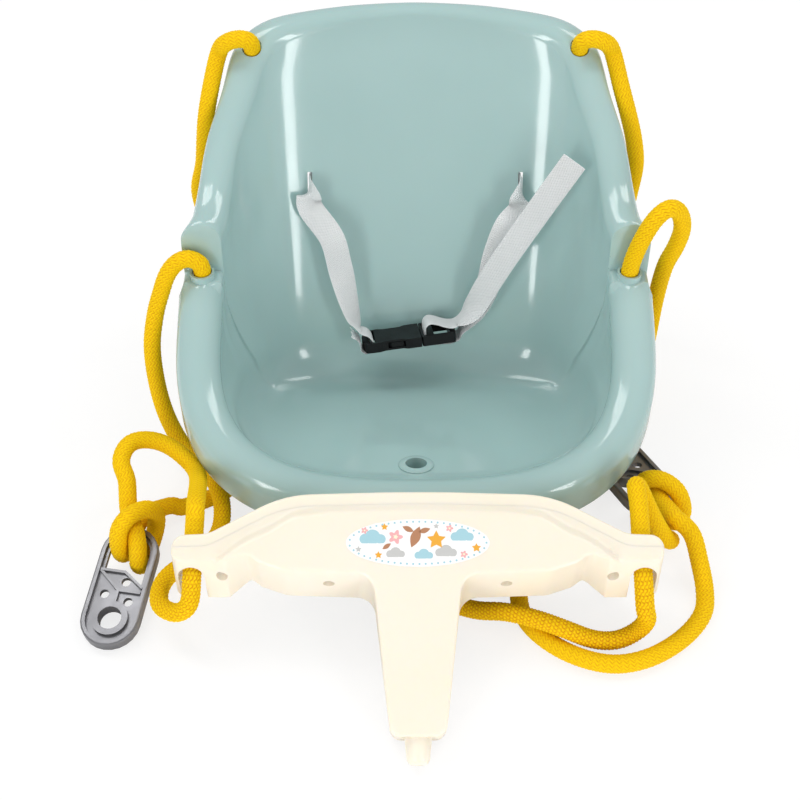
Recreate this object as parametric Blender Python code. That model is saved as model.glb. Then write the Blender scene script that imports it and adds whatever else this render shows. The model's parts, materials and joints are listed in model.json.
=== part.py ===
"""Child rope swing: a bucket seat on two ropes, with a safety bar, hang plates and a lap belt.

The swing lies unhung on the floor: the seat stands on its ribs, the safety bar leans on the
seat's front lip, and both ropes lie beside and behind the seat.
Lengths are metres. +Z is up, -Y is the front of the seat, and +X is to the right seen from
the front. The origin is on the floor under the middle of the seat pan.
"""
import math

import bmesh
import bpy
from mathutils import Matrix, Vector

UP = Vector((0, 0, 1))
GAP = 0.0003

# Seat shell: the pan, the walls and the rolled rim
WALL = 0.003
PAN_HALF_WIDTH = 0.134
PAN_FRONT = 0.097
PAN_BACK = 0.062
PAN_POWER = 3.0
PAN_REAR_HEIGHT = 0.008
PAN_SLOPE = math.radians(18)
PAN_FILLET = 0.034
FRONT_FILLET = 0.010
RIM_X = 0.1635
RIM_FRONT = 0.1175
RIM_POWER = 2.8
RIM_HALF = 0.0165
LIP_HEIGHT = 0.054
LIP_LEAD_IN = math.radians(45)
FLANGE_DROP = 0.019
BACK_FLANGE_DROP = 0.012

# The armrest step: a flat ledge with a rope hole, and the ear wall behind it
ARM_HEIGHT = 0.125
LEDGE_FRONT = 0.023
LEDGE_DEPTH = 0.017
LEDGE_X = 0.1612
LEDGE_HALF = 0.0150
LEDGE_SQUARE = 7.0
EAR_X = LEDGE_X - 0.0006
EAR_HALF = 0.0150
EAR_RISE = 0.042
ARM_BELLY = 0.0045
EAR_BELLY = 0.009
COLLAR_RISE = 0.005
COLLAR_WALL = 0.0017

# The backrest rim from the ear to the middle of the top: how far out, back and up its centre
# line is, its half width, and where on the pan's edge (degrees from the side) its wall starts
BACK_TOP_Y = 0.191
BACK_TOP_HEIGHT = 0.272
BACK_CORNER_X = 0.127
BACK_SIDE_X = 0.150

# Ropes and their holes
ROPE = 0.013
ROPE_PLAY = 0.001
BACK_HOLE_TILT = math.radians(27)
BACK_HOLE_SHARE = 0.56

# Belt slots in the backrest, and the webbing
SLOT_X = 0.0835
SLOT_HEIGHT = 0.1585
SLOT_LENGTH = 0.023
WEBBING = 0.020
WEBBING_THICK = 0.0014
SLOT_PLAY = 0.0011

# The socket for the safety bar's plug
SOCKET_Y = -0.0825
SOCKET_BOSS = 0.013
SOCKET_BOSS_RISE = 0.002
SOCKET_TUBE = 0.022
SOCKET_PLAY = 0.0008

# Ribs under the pan, which the seat stands on
RIB_X = 0.066
RIB_THICK = 0.005
RIB_FRONT = -0.076
RIB_REAR = 0.030

# Safety bar, in its own frame: x across, v from the far edge to the plug, w up, 0 on the top.
# Its near faces lean outwards towards the bottom by the draft.
BAR_THICK = 0.042
BAR_EDGE = 0.007
BAR_HALF_WIDTH = 0.1675
BAR_DEPTH = 0.0585
BAR_DRAFT = 0.0085
LUG_FAR = 0.0298
LUG_NEAR = 0.0485
LUG_DRAFT = 0.018
LUG_WIDTH = 0.0375
LUG_CORNER = 0.0245
NOTCH_SIDE = 0.0145
NOTCH_WIDTH = 0.022
NOTCH_NEAR = 0.0445
LEG_HALF_TOP = 0.0292
LEG_HALF_END = 0.0183
LEG_LENGTH = 0.164
LEG_THICK_END = 0.025
CAP_DEPTH = 0.0088
EYE_INSET = 0.013
EYE_HALF = 0.0092
EYE_RISE = 0.0115
EYE_HEIGHT = 0.023
BAR_LEAN = math.radians(30)
PLUG_ROOT = 0.0095
PLUG_TIP = 0.0072
PLUG_LENGTH = 0.017
SCREW_X = 0.0605
SCREW_INSET = 0.034
SCREW_DEPTH = 0.0185
SCREW_HEAD = 0.0034
SCREW_HEAD_HIGH = 0.0025
SCREW_SHANK = 0.0017
SCREW_BITE = 0.007
SCREW_SINK = 0.012

# The raised middle of the bar's top: how far the top drops beside it, in the middle and at
# the lugs, how wide the step is, and the step's line as (x, v) places
DOME_DROP = 0.003
DOME_DROP_LUG = 0.006
DOME_STEP = 0.008
DOME_LINE = ((0.0, 0.012), (0.060, 0.013), (0.085, 0.0165), (0.102, 0.0274), (0.114, 0.0325),
             (0.1266, 0.041), (0.136, 0.050))
DOME_GRID = 0.012

# Hang plates
PLATE_WIDTH = 0.042
PLATE_LENGTH = 0.094
PLATE_THICK = 0.010
PLATE_WEB = 0.004
PLATE_RIM = 0.0035
PLATE_BAR = 0.006
PLATE_EYE = 0.0085
PLATE_EYE_WALL = 0.0045
PLATE_HOLE = 0.0034
PLATE_RIB = 0.002

# Where the hang plates lie: the rope bar's place (x, y) and the heading of the plate's length
PLATE_LEFT = (-0.206, -0.122, math.radians(-9.4))
PLATE_RIGHT = (0.183, -0.097, math.radians(201))
PLATE_TILT = math.radians(12)

# Buckle: its own X runs towards the tongue, from the joint between its halves
BUCKLE_WIDTH = 0.028
BUCKLE_THICK = 0.0085
BUCKLE_WALL = 0.0014
SOCKET_LONG = 0.0475
SOCKET_BAR = 0.006
SOCKET_SLOT = 0.0048
TONGUE_LONG = 0.0276
TONGUE_ROOT = 0.0018
TONGUE_SLOT = 0.0032
CROSS_BAR = 0.0050
END_BAR = 0.0046
BUCKLE_MIDDLE = (0.004, 0.059, 0.057)
BUCKLE_TURN = math.radians(7)
BUCKLE_RISE = math.radians(5.5)
WEBBING_PLAY = 0.0012
FOLD_STEP = 0.0003

COLOURS = {
    "seat": (0.42, 0.60, 0.61),
    "bar": (0.93, 0.87, 0.74),
    "rope": (0.90, 0.62, 0.02),
    "plate": (0.30, 0.30, 0.31),
    "belt": (0.86, 0.87, 0.88),
    "buckle": (0.012, 0.013, 0.015),
    "steel": (0.55, 0.52, 0.45),
}


def clear_scene():
    for old in list(bpy.data.objects):
        bpy.data.objects.remove(old, do_unlink=True)


def material(name, colour, roughness, metallic=0.0):
    made = bpy.data.materials.new(name)
    made.use_nodes = True
    shader = made.node_tree.nodes["Principled BSDF"]
    shader.inputs["Base Color"].default_value = (*colour, 1.0)
    shader.inputs["Roughness"].default_value = roughness
    shader.inputs["Metallic"].default_value = metallic
    return made


def new_object(name, mesh, finish=None):
    made = bpy.data.objects.new(name, mesh)
    bpy.context.scene.collection.objects.link(made)
    if finish is not None:
        mesh.materials.clear()
        mesh.materials.append(finish)
    return made


def mesh_from(name, points, faces):
    """A mesh whose faces all point outwards."""
    mesh = bpy.data.meshes.new(name)
    mesh.from_pydata([tuple(p) for p in points], [], faces)
    work = bmesh.new()
    work.from_mesh(mesh)
    bmesh.ops.recalc_face_normals(work, faces=work.faces)
    work.to_mesh(mesh)
    work.free()
    return mesh


def smooth(made, degrees=35.0):
    made.data.shade_smooth()
    made.data.set_sharp_from_angle(angle=math.radians(degrees))


def bake(made):
    """Replace an object's mesh by what its modifiers make of it."""
    depsgraph = bpy.context.evaluated_depsgraph_get()
    mesh = bpy.data.meshes.new_from_object(made.evaluated_get(depsgraph))
    made.modifiers.clear()
    made.data = mesh


def combine(made, tools, operation):
    """Join (UNION) or cut (DIFFERENCE, INTERSECT) an object by a list of tool objects at once."""
    group = bpy.data.collections.new("tools")
    for tool in tools:
        group.objects.link(tool)
    change = made.modifiers.new(operation.lower(), "BOOLEAN")
    change.operation = operation
    change.solver = "EXACT"
    change.operand_type = "COLLECTION"
    change.collection = group
    bake(made)
    for tool in tools:
        bpy.data.objects.remove(tool, do_unlink=True)
    bpy.data.collections.remove(group)


def catmull(points, steps):
    """Points on a smooth curve through a list of points, with equal steps in each span."""
    ends = [points[0] * 2 - points[1]] + list(points) + [points[-1] * 2 - points[-2]]
    curve = []
    for i in range(1, len(ends) - 2):
        p0, p1, p2, p3 = ends[i - 1:i + 3]
        for k in range(steps):
            t = k / steps
            curve.append(0.5 * (2 * p1 + (p2 - p0) * t + (2 * p0 - 5 * p1 + 4 * p2 - p3) * t ** 2
                                + (3 * p1 - p0 - 3 * p2 + p3) * t ** 3))
    curve.append(points[-1].copy())
    return curve


def spaced(points, step):
    """Points at equal distances along a dense curve, about one step apart."""
    lengths = [0.0]
    for a, b in zip(points, points[1:]):
        lengths.append(lengths[-1] + (b - a).length)
    count = max(2, round(lengths[-1] / step))
    found = []
    j = 0
    for i in range(count + 1):
        target = lengths[-1] * i / count
        while j < len(points) - 2 and lengths[j + 1] < target:
            j += 1
        share = (target - lengths[j]) / max(lengths[j + 1] - lengths[j], 1e-9)
        found.append(points[j].lerp(points[j + 1], min(max(share, 0.0), 1.0)))
    return found


def rounded_outline(corners, arc_step=math.radians(22)):
    """A flat outline from (x, y, radius) corners, with an arc of that radius at each corner."""
    outline = []
    count = len(corners)
    for i, (x, y, radius) in enumerate(corners):
        here = Vector((x, y))
        before = Vector(corners[i - 1][:2]) - here
        after = Vector(corners[(i + 1) % count][:2]) - here
        if radius <= 0:
            outline.append(here)
            continue
        half = before.angle(after) / 2
        reach = min(radius / math.tan(half), before.length * 0.49, after.length * 0.49)
        radius = reach * math.tan(half)
        centre = here + (before.normalized() + after.normalized()).normalized() * (
            radius / math.sin(half))
        start = here + before.normalized() * reach - centre
        end = here + after.normalized() * reach - centre
        turn = math.atan2(start.cross(end), start.dot(end))
        steps = max(1, math.ceil(abs(turn) / arc_step))
        for k in range(steps + 1):
            outline.append(centre + Matrix.Rotation(turn * k / steps, 2) @ start)
    return outline


def prism(name, outline, low, high, place=None, finish=None):
    """A solid from a flat outline, between two heights, placed by a matrix or in the XY plane."""
    place = place or Matrix.Identity(4)
    count = len(outline)
    points = [place @ Vector((p[0], p[1], h)) for h in (low, high) for p in outline]
    faces = [tuple(range(count)), tuple(range(count, 2 * count))]
    for i in range(count):
        j = (i + 1) % count
        faces.append((i, j, count + j, count + i))
    return new_object(name, mesh_from(name, points, faces), finish)


def turned(name, profile, place, sides=24):
    """A turned solid: (radius, height) pairs spun about the Z axis of a matrix."""
    work = bmesh.new()
    ring = [work.verts.new((radius, 0, height)) for radius, height in profile]
    edges = [work.edges.new((a, b)) for a, b in zip(ring, ring[1:])]
    bmesh.ops.spin(work, geom=ring + edges, cent=(0, 0, 0), axis=(0, 0, 1),
                   angle=math.tau, steps=sides, use_merge=True)
    bmesh.ops.remove_doubles(work, verts=work.verts, dist=0.000001)
    bmesh.ops.holes_fill(work, edges=[e for e in work.edges if e.is_boundary], sides=0)
    bmesh.ops.recalc_face_normals(work, faces=work.faces)
    bmesh.ops.transform(work, matrix=place, verts=work.verts)
    mesh = bpy.data.meshes.new(name)
    work.to_mesh(mesh)
    work.free()
    return new_object(name, mesh)


def rod(name, start, end, radius, sides=24):
    """A plain round bar between two points."""
    span = Vector(end) - Vector(start)
    turn = UP.rotation_difference(span).to_matrix().to_4x4() @ Matrix.Rotation(
        math.radians(5), 4, "Z")
    return turned(name, [(0, 0), (radius, 0), (radius, span.length), (0, span.length)],
                  Matrix.Translation(start) @ turn, sides)


def block(name, low, high, place=None):
    """A box between two corners, placed by a matrix."""
    outline = [(low[0], low[1]), (high[0], low[1]), (high[0], high[1]), (low[0], high[1])]
    return prism(name, outline, low[2], high[2], place)


PAN_CENTRE = Vector((0, (PAN_BACK - PAN_FRONT) / 2, 0))


def pan_height(y):
    return PAN_REAR_HEIGHT + (PAN_BACK - y) * math.tan(PAN_SLOPE)


class Station:
    """One cut through the seat shell, from the pan's edge over the rim to the flange's foot."""

    def __init__(self, centre, half, pan, out, square=2.0, lead_in=0.0, drop=FLANGE_DROP,
                 fillet=PAN_FILLET, step=0.0, belly=0.0):
        self.centre = Vector(centre)
        self.half = half
        self.pan = Vector(pan)
        self.out = Vector(out).normalized()
        self.square = square
        self.lead_in = lead_in
        self.drop = drop
        self.fillet = fillet
        self.step = step
        self.belly = belly

    def mirrored(self):
        flip = Vector((-1, 1, 1))
        return Station(self.centre * flip, self.half, self.pan * Vector((-1, 1)),
                       self.out * flip, self.square, self.lead_in, self.drop, self.fillet,
                       self.step, self.belly)

    def rim_point(self, angle, radius):
        across = -math.copysign(abs(math.cos(angle)) ** (2 / self.square), math.cos(angle))
        rise = abs(math.sin(angle)) ** (2 / self.square)
        return self.centre + self.out * (across * radius) + UP * (rise * radius)

    def section(self, inset, arc_steps=8):
        """The cut's points: the visible face at inset 0, the hidden face at inset WALL."""
        radius = self.half - inset
        top = self.rim_point(self.lead_in, radius)
        corner = Vector((*self.pan, pan_height(self.pan.y))) + (self.out - UP) * inset
        inner = corner + (PAN_CENTRE - corner).normalized() * self.fillet
        inner.z = pan_height(inner.y) - inset
        rise = top - corner
        start = corner + rise.normalized() * min(self.fillet, rise.length * 0.6)
        points = [inner.lerp(corner, t).lerp(corner.lerp(start, t), t)
                  for t in (0, 0.25, 0.5, 0.75, 1)]
        points += [start.lerp(top, t) + self.out * (self.belly * 4 * t * (1 - t))
                   for t in (0.25, 0.5, 0.75)]
        points += [self.rim_point(self.lead_in + (math.pi - self.lead_in) * k / arc_steps, radius)
                   for k in range(arc_steps + 1)]
        outer = self.centre + self.out * radius
        points += [outer - UP * (self.drop * t) for t in (0.5, 1)]
        shift = Vector((0, self.step * inset, 0))
        return [p + shift for p in points]


def pan_edge(degrees):
    """The sharp edge of the pan, by the angle from the side: -90 is the front, 90 the back."""
    angle = math.radians(degrees)
    reach = PAN_BACK if degrees > 0 else PAN_FRONT
    x = PAN_HALF_WIDTH * abs(math.cos(angle)) ** (2 / PAN_POWER)
    y = math.copysign(reach * abs(math.sin(angle)) ** (2 / PAN_POWER), math.sin(angle))
    return x, y


def arm_height(y):
    """Height of the rim's centre line from the lip up to the ledge."""
    share = (y + RIM_FRONT) / (LEDGE_FRONT + RIM_FRONT)
    return LIP_HEIGHT + (ARM_HEIGHT - LIP_HEIGHT) * share


def front_stations(steps=9):
    """The lip, the front corner and the armrest as far as the ledge."""
    made = []
    for i in range(steps + 1):
        angle = math.pi / 2 * i / steps
        sine = math.sin(angle)
        cosine = max(math.cos(angle), 0.0)
        x = RIM_X * sine ** (2 / RIM_POWER)
        y = -RIM_FRONT * cosine ** (2 / RIM_POWER)
        out = (sine ** (2 - 2 / RIM_POWER) / RIM_X, -cosine ** (2 - 2 / RIM_POWER) / RIM_FRONT, 0)
        made.append(Station((x, y, arm_height(y)), RIM_HALF, pan_edge(i / steps * 90 - 90), out,
                            lead_in=LIP_LEAD_IN * cosine ** 2,
                            fillet=FRONT_FILLET + (PAN_FILLET - FRONT_FILLET) * sine ** 2,
                            belly=ARM_BELLY * sine ** 2))
    made.append(Station((RIM_X, LEDGE_FRONT * 0.5, arm_height(LEDGE_FRONT * 0.5)), RIM_HALF,
                        pan_edge(3), (1, 0, 0), belly=ARM_BELLY))
    return made


def ledge_stations():
    """The flat ledge with its front edge and the ear wall that rises behind it."""
    ear_y = LEDGE_FRONT + LEDGE_DEPTH
    half = LEDGE_HALF
    low = ARM_HEIGHT + RIM_HALF - half
    made = [Station((RIM_X, LEDGE_FRONT, ARM_HEIGHT), RIM_HALF, pan_edge(8), (1, 0, 0),
                    belly=ARM_BELLY)]
    for share, degrees in ((0.15, 11), (0.5, 17), (0.97, 26)):
        y = LEDGE_FRONT + LEDGE_DEPTH * share
        made.append(Station((LEDGE_X, y, low), half, pan_edge(degrees), (1, 0, 0),
                            square=LEDGE_SQUARE, step=0.8 if share > 0.9 else 0.0,
                            belly=ARM_BELLY))
    top = low + half + EAR_RISE - EAR_HALF
    made.append(Station((EAR_X, ear_y + 0.0005, top), EAR_HALF, pan_edge(28.5), (1, 0, 0),
                        drop=FLANGE_DROP + top - low, step=0.8, belly=EAR_BELLY))
    return made


def back_line():
    """Points along the backrest's rim: centre, half width, the angle on the pan's edge, and
    how far the flange still has to come up from the foot of the ear."""
    ear_y = LEDGE_FRONT + LEDGE_DEPTH
    ear_top = ARM_HEIGHT + RIM_HALF + EAR_RISE - EAR_HALF
    rise = BACK_TOP_HEIGHT - ear_top
    run = BACK_TOP_Y - ear_y
    shares = (
        (BACK_SIDE_X + 0.005, 0.11, 0.05, 0.0135, 34, 0.75),
        (BACK_SIDE_X + 0.003, 0.23, 0.12, 0.0130, 38, 0.3),
        (BACK_SIDE_X - 0.002, 0.43, 0.34, 0.0130, 44, 0.0),
        (BACK_SIDE_X - 0.014, 0.64, 0.58, 0.0140, 50, 0.0),
        (BACK_CORNER_X, 0.80, 0.78, 0.0160, 56, 0.0),
        (BACK_CORNER_X - 0.016, 0.89, 0.87, 0.0150, 62, 0.0),
        (BACK_CORNER_X - 0.050, 0.95, 0.94, 0.0115, 71, 0.0),
        (BACK_CORNER_X - 0.088, 0.985, 0.985, 0.0090, 80, 0.0),
        (0.0, 1.0, 1.0, 0.0080, 90, 0.0),
    )
    return [(Vector((x, ear_y + run * back, ear_top + rise * up)), half, degrees, hang)
            for x, back, up, half, degrees, hang in shares]


def back_stations():
    """The rim from behind the ear, up the backrest's side and round to the middle of its top."""
    line = back_line()
    ear_y = LEDGE_FRONT + LEDGE_DEPTH
    made = []
    for i, (centre, half, degrees, hang) in enumerate(line):
        before = line[i - 1][0] if i > 1 else centre - Vector((0, 1, 0))
        after = line[i + 1][0] if i + 1 < len(line) else centre * Vector((-1, 1, 1)) - UP
        after = after if i + 1 < len(line) else Vector((-line[i - 1][0].x, before.y, 0))
        along = after - before
        back_share = (centre.y - ear_y) / (BACK_TOP_Y - ear_y)
        drop = FLANGE_DROP + (BACK_FLANGE_DROP - FLANGE_DROP) * back_share + hang * EAR_RISE
        made.append(Station(centre, half, pan_edge(degrees), (along.y, -along.x, 0), drop=drop,
                            belly=EAR_BELLY * max(0.0, 1 - back_share * 1.5)))
    return made


def seat_shell(finish):
    """The bucket: two skins of the same cuts, closed along the flange's foot."""
    half = front_stations() + ledge_stations() + back_stations()
    loop = half + [s.mirrored() for s in reversed(half[1:-1])]
    points = []
    faces = []
    count = len(loop)
    rows = 0
    for inset in (0.0, WALL):
        skin = []
        for station in loop:
            cut = station.section(inset)
            middle = PAN_CENTRE.lerp(cut[0], 0.5)
            middle.z = pan_height(middle.y) - inset
            skin.append([middle] + cut)
        rows = len(skin[0])
        base = len(points)
        for cut in skin:
            points += cut
        for i in range(count):
            j = (i + 1) % count
            for k in range(rows - 1):
                faces.append((base + i * rows + k, base + j * rows + k,
                              base + j * rows + k + 1, base + i * rows + k + 1))
        faces.append(tuple(base + i * rows for i in range(count)))
    hidden = count * rows
    for i in range(count):
        j = (i + 1) % count
        foot_i = i * rows + rows - 1
        foot_j = j * rows + rows - 1
        faces.append((foot_i, foot_j, hidden + foot_j, hidden + foot_i))
    shell = new_object("seat_shell", mesh_from("seat_shell", points, faces), finish)
    combine(shell, seat_additions(), "UNION")
    combine(shell, seat_cuts(), "DIFFERENCE")
    smooth(shell)
    return shell


def pan_frame(y):
    """A frame on the pan at a distance from the middle, with Z square to the pan."""
    turn = Matrix.Rotation(-PAN_SLOPE, 4, "X")
    return Matrix.Translation((0, y, pan_height(y))) @ turn


def back_slope(x):
    """Foot and top of the backrest's wall at a distance from the middle line."""
    foot_y = PAN_BACK * (1 - (x / PAN_HALF_WIDTH) ** PAN_POWER) ** (1 / PAN_POWER)
    foot = Vector((x, foot_y, pan_height(foot_y)))
    line = back_line()
    for (low, low_half, _, _), (high, high_half, _, _) in zip(line, line[1:]):
        if high.x <= x <= low.x:
            share = (low.x - x) / (low.x - high.x)
            top = low.lerp(high, share)
            half = low_half + (high_half - low_half) * share
            return foot, Vector((x, top.y - half, top.z))
    return foot, foot + UP


def slot_frame(side):
    """A frame in the middle of a belt slot: X across, Y along the slot, Z through the wall."""
    foot, top = back_slope(SLOT_X)
    share = (SLOT_HEIGHT - foot.z) / (top.z - foot.z)
    place = foot.lerp(top, share)
    along = (top - foot).normalized()
    through = Vector((1, 0, 0)).cross(along)
    turn = Matrix((Vector((1, 0, 0)), along, through)).transposed().to_4x4()
    return Matrix.Translation((side * place.x, place.y, place.z)) @ turn


def back_hole():
    """Centre line point and direction of the rope hole in a top corner of the backrest."""
    line = back_line()
    low, high = line[4][0], line[5][0]
    centre = low.lerp(high, BACK_HOLE_SHARE - 0.4)
    return centre, Vector((0, -math.sin(BACK_HOLE_TILT), math.cos(BACK_HOLE_TILT)))


def seat_additions():
    """Solid pieces moulded on the shell: rope collars, the socket's boss and the ribs."""
    top = ARM_HEIGHT + RIM_HALF
    reach = ROPE / 2 + ROPE_PLAY + COLLAR_WALL
    hole_y = LEDGE_FRONT + LEDGE_DEPTH / 2
    made = [rod("collar", (side * LEDGE_X, hole_y, top - WALL / 2),
                (side * LEDGE_X, hole_y, top + COLLAR_RISE), reach) for side in (-1, 1)]
    made.append(turned("boss", [(0, -SOCKET_TUBE), (SOCKET_BOSS * 0.85, -SOCKET_TUBE),
                                (SOCKET_BOSS * 0.85, -WALL / 2), (SOCKET_BOSS, -WALL / 2),
                                (SOCKET_BOSS, SOCKET_BOSS_RISE * 0.5),
                                (SOCKET_BOSS * 0.88, SOCKET_BOSS_RISE),
                                (0, SOCKET_BOSS_RISE)], pan_frame(SOCKET_Y)))
    made += ribs()
    return made


def ribs():
    """Upright ribs under the pan. Their feet lie on the floor."""
    sink = WALL / 2
    side_view = [(RIB_FRONT, 0), (RIB_REAR, 0), (RIB_REAR, pan_height(RIB_REAR) - sink),
                 (RIB_FRONT, pan_height(RIB_FRONT) - sink)]
    upright = Matrix(((0, 0, 1, 0), (1, 0, 0, 0), (0, 1, 0, 0), (0, 0, 0, 1)))
    made = []
    for x in (-RIB_X, 0.0, RIB_X):
        start = RIB_FRONT if x else SOCKET_Y + SOCKET_BOSS + 0.006
        view = [(max(y, start), z) for y, z in side_view]
        view[3] = (start, pan_height(start) - sink)
        made.append(prism("rib", view, x - RIB_THICK / 2, x + RIB_THICK / 2, upright))
    for y in (RIB_FRONT + 0.020, 0.0, RIB_REAR - 0.004):
        high = pan_height(y + RIB_THICK / 2) - sink
        made.append(block("rib", (-RIB_X - RIB_THICK, y - RIB_THICK / 2, 0),
                          (RIB_X + RIB_THICK, y + RIB_THICK / 2, high)))
    return made


def seat_cuts():
    """The rope holes, the belt slots and the socket's bore."""
    bore = ROPE / 2 + ROPE_PLAY
    hole_y = LEDGE_FRONT + LEDGE_DEPTH / 2
    top = ARM_HEIGHT + RIM_HALF
    centre, way = back_hole()
    made = []
    for side in (-1, 1):
        made.append(rod("hole", (side * LEDGE_X, hole_y, top - 4 * WALL),
                        (side * LEDGE_X, hole_y, top + 2 * COLLAR_RISE), bore))
        start = Vector((side * centre.x, centre.y, centre.z))
        made.append(rod("hole", start + way * 0.002, start + way * 0.030, bore))
        made.append(block("slot", (-WEBBING_THICK / 2 - SLOT_PLAY, -SLOT_LENGTH / 2, -0.012),
                          (WEBBING_THICK / 2 + SLOT_PLAY, SLOT_LENGTH / 2, 0.012),
                          slot_frame(side)))
    made.append(turned("bore", [(0, -SOCKET_TUBE * 1.2), (PLUG_TIP + SOCKET_PLAY, -SOCKET_TUBE * 1.2),
                                (PLUG_TIP + SOCKET_PLAY, 0.01), (0, 0.01)],
                       pan_frame(SOCKET_Y)))
    return made


def far_edge():
    """Corners (x, v, radius) of the right half of the safety bar's far edge."""
    return [(0.0, 0.0, 1.0), (0.0915, 0.002, 0.080), (BAR_HALF_WIDTH - LUG_CORNER, LUG_FAR - 0.0005, 0.022),
            (BAR_HALF_WIDTH, LUG_FAR + 0.0005, 0.013)]


def bar_outline():
    """The top of the safety bar seen from above, as (x, v) points."""
    lug = BAR_HALF_WIDTH - LUG_WIDTH
    half = far_edge() + [
        (BAR_HALF_WIDTH, LUG_NEAR, 0.008),
        (lug, LUG_NEAR, 0.011),
        (lug - NOTCH_SIDE, NOTCH_NEAR, 0.010),
        (lug - NOTCH_WIDTH, NOTCH_NEAR + 0.006, 0.010),
        (0.0900, BAR_DEPTH - 0.002, 0.020),
        (LEG_HALF_TOP + 0.001, BAR_DEPTH, 0.014),
        (LEG_HALF_END, LEG_LENGTH, 0.008),
    ]
    return rounded_outline(half + [(-x, v, radius) for x, v, radius in reversed(half[1:])])


def between(places, at):
    """The value at a place, on straight lines through (place, value) pairs."""
    for (low, start), (high, end) in zip(places, places[1:]):
        if at <= high:
            return start + (end - start) * max(at - low, 0.0) / (high - low)
    return places[-1][1]


def draft(x, v):
    """How much further out the bottom of a near face stands than its top."""
    if not LUG_FAR + 0.010 < v < BAR_DEPTH + 0.030:
        return 0.0
    lug = BAR_HALF_WIDTH - LUG_WIDTH
    return between(((lug - NOTCH_SIDE, BAR_DRAFT), (lug, LUG_DRAFT)), abs(x))


def leg_share(v):
    """0 on the bar and at the top of the leg, 1 at the leg's end."""
    return min(max((v - BAR_DEPTH) / (LEG_LENGTH - BAR_DEPTH), 0.0), 1.0)


def bar_thickness(v):
    return BAR_THICK + (LEG_THICK_END - BAR_THICK) * leg_share(v)


def nose_height(tilt, start):
    """Height of the lowest point of the plug when the bar leans at an angle."""
    v = LEG_LENGTH + PLUG_LENGTH
    w = -BAR_THICK / 2 - PLUG_TIP
    return start.z - v * math.sin(tilt) + w * math.cos(tilt)


def bar_lean():
    """The far top edge and the tilt of the bar, resting on the lip and on the floor."""
    lip = Vector((0, -RIM_FRONT, LIP_HEIGHT))
    reach = RIM_HALF + BAR_EDGE + 2 * GAP
    corner = lip + Vector((0, -math.cos(BAR_LEAN), math.sin(BAR_LEAN))) * reach
    low, high = 0.0, math.radians(40)
    start = corner
    for _ in range(40):
        tilt = (low + high) / 2
        v = -BAR_EDGE
        w = BAR_THICK - BAR_EDGE
        start = corner + Vector((0, -v * math.cos(tilt) - w * math.sin(tilt),
                                 -v * math.sin(tilt) + w * math.cos(tilt)))
        if nose_height(tilt, start) > 2 * GAP:
            low = tilt
        else:
            high = tilt
    return start, tilt


def bar_frame():
    """World matrix of the bar's own frame: local (x, -v, w) measured from its far top edge."""
    start, tilt = bar_lean()
    return Matrix.Translation(start) @ Matrix.Rotation(tilt, 4, "X")


def rocking_line():
    """The point on the middle line of the bar's far bottom edge, where it rocks on the lip."""
    return Vector((0, -BAR_EDGE, BAR_EDGE - BAR_THICK))


def dome_drop(x, v):
    """How far the top lies below the raised middle, by the distance from the step's line."""
    x = abs(x)
    line = between(DOME_LINE, x)
    share = min(max((v - line) / DOME_STEP + 0.5, 0.0), 1.0) if x < DOME_LINE[-1][0] else 0.0
    deep = DOME_DROP + (DOME_DROP_LUG - DOME_DROP) * min(x / DOME_LINE[-1][0], 1.0)
    return deep * (1 - share * share * (3 - 2 * share))


def cut_grid(mesh):
    """Cut the bar's faces into strips, so that its top can be shaped."""
    work = bmesh.new()
    work.from_mesh(mesh)
    places = [(Vector((x * DOME_GRID, 0, 0)), Vector((1, 0, 0)))
              for x in range(-math.floor(BAR_HALF_WIDTH / DOME_GRID),
                             math.floor(BAR_HALF_WIDTH / DOME_GRID) + 1)]
    places += [(Vector((0, -v * DOME_GRID / 2, 0)), Vector((0, 1, 0)))
               for v in range(1, math.ceil(2 * BAR_DEPTH / DOME_GRID))]
    for place, way in places:
        faces = [face for face in work.faces if face.normal.z > 0.3]
        edges = {edge for face in faces for edge in face.edges}
        verts = {vert for face in faces for vert in face.verts}
        bmesh.ops.bisect_plane(work, geom=faces + list(edges) + list(verts), dist=0.00002,
                               plane_co=place, plane_no=way)
    bmesh.ops.triangulate(work, faces=[face for face in work.faces if face.normal.z > 0.3])
    work.to_mesh(mesh)
    work.free()


def bar_blank(name):
    """The whole bar before it is parted: outline, rounded edges, raised middle and thin leg."""
    outline = [(x, -v) for x, v in bar_outline()]
    made = prism(name, outline, -BAR_THICK, 0.0)
    for vertex in made.data.vertices:
        if vertex.co.z < -BAR_THICK / 2:
            vertex.co.y -= draft(vertex.co.x, -vertex.co.y)
    edge = made.modifiers.new("edge", "BEVEL")
    edge.width = BAR_EDGE
    edge.segments = 3
    edge.limit_method = "ANGLE"
    edge.angle_limit = math.radians(60)
    bake(made)
    cut_grid(made.data)
    middle = -BAR_THICK / 2
    for vertex in made.data.vertices:
        x, y, z = vertex.co
        z -= dome_drop(x, -y) * min(max(1 - z / middle, 0.0), 1.0)
        vertex.co.z = middle + (z - middle) * bar_thickness(-y) / BAR_THICK
    return made


def cap_cutter(depth):
    """The space that holds the cap: all that lies within a depth of the far edge."""
    corners = [(x, v + depth, radius) for x, v, radius in far_edge()[:3]]
    corners.append((BAR_HALF_WIDTH + 0.02, LUG_FAR + depth, 0))
    corners.append((BAR_HALF_WIDTH + 0.02, -0.03, 0))
    corners += [(-x, v, radius) for x, v, radius in reversed(corners[1:])]
    outline = [(x, -v) for x, v in rounded_outline(corners)]
    return prism("cap_space", outline, -BAR_THICK - 0.01, 0.01)


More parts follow.
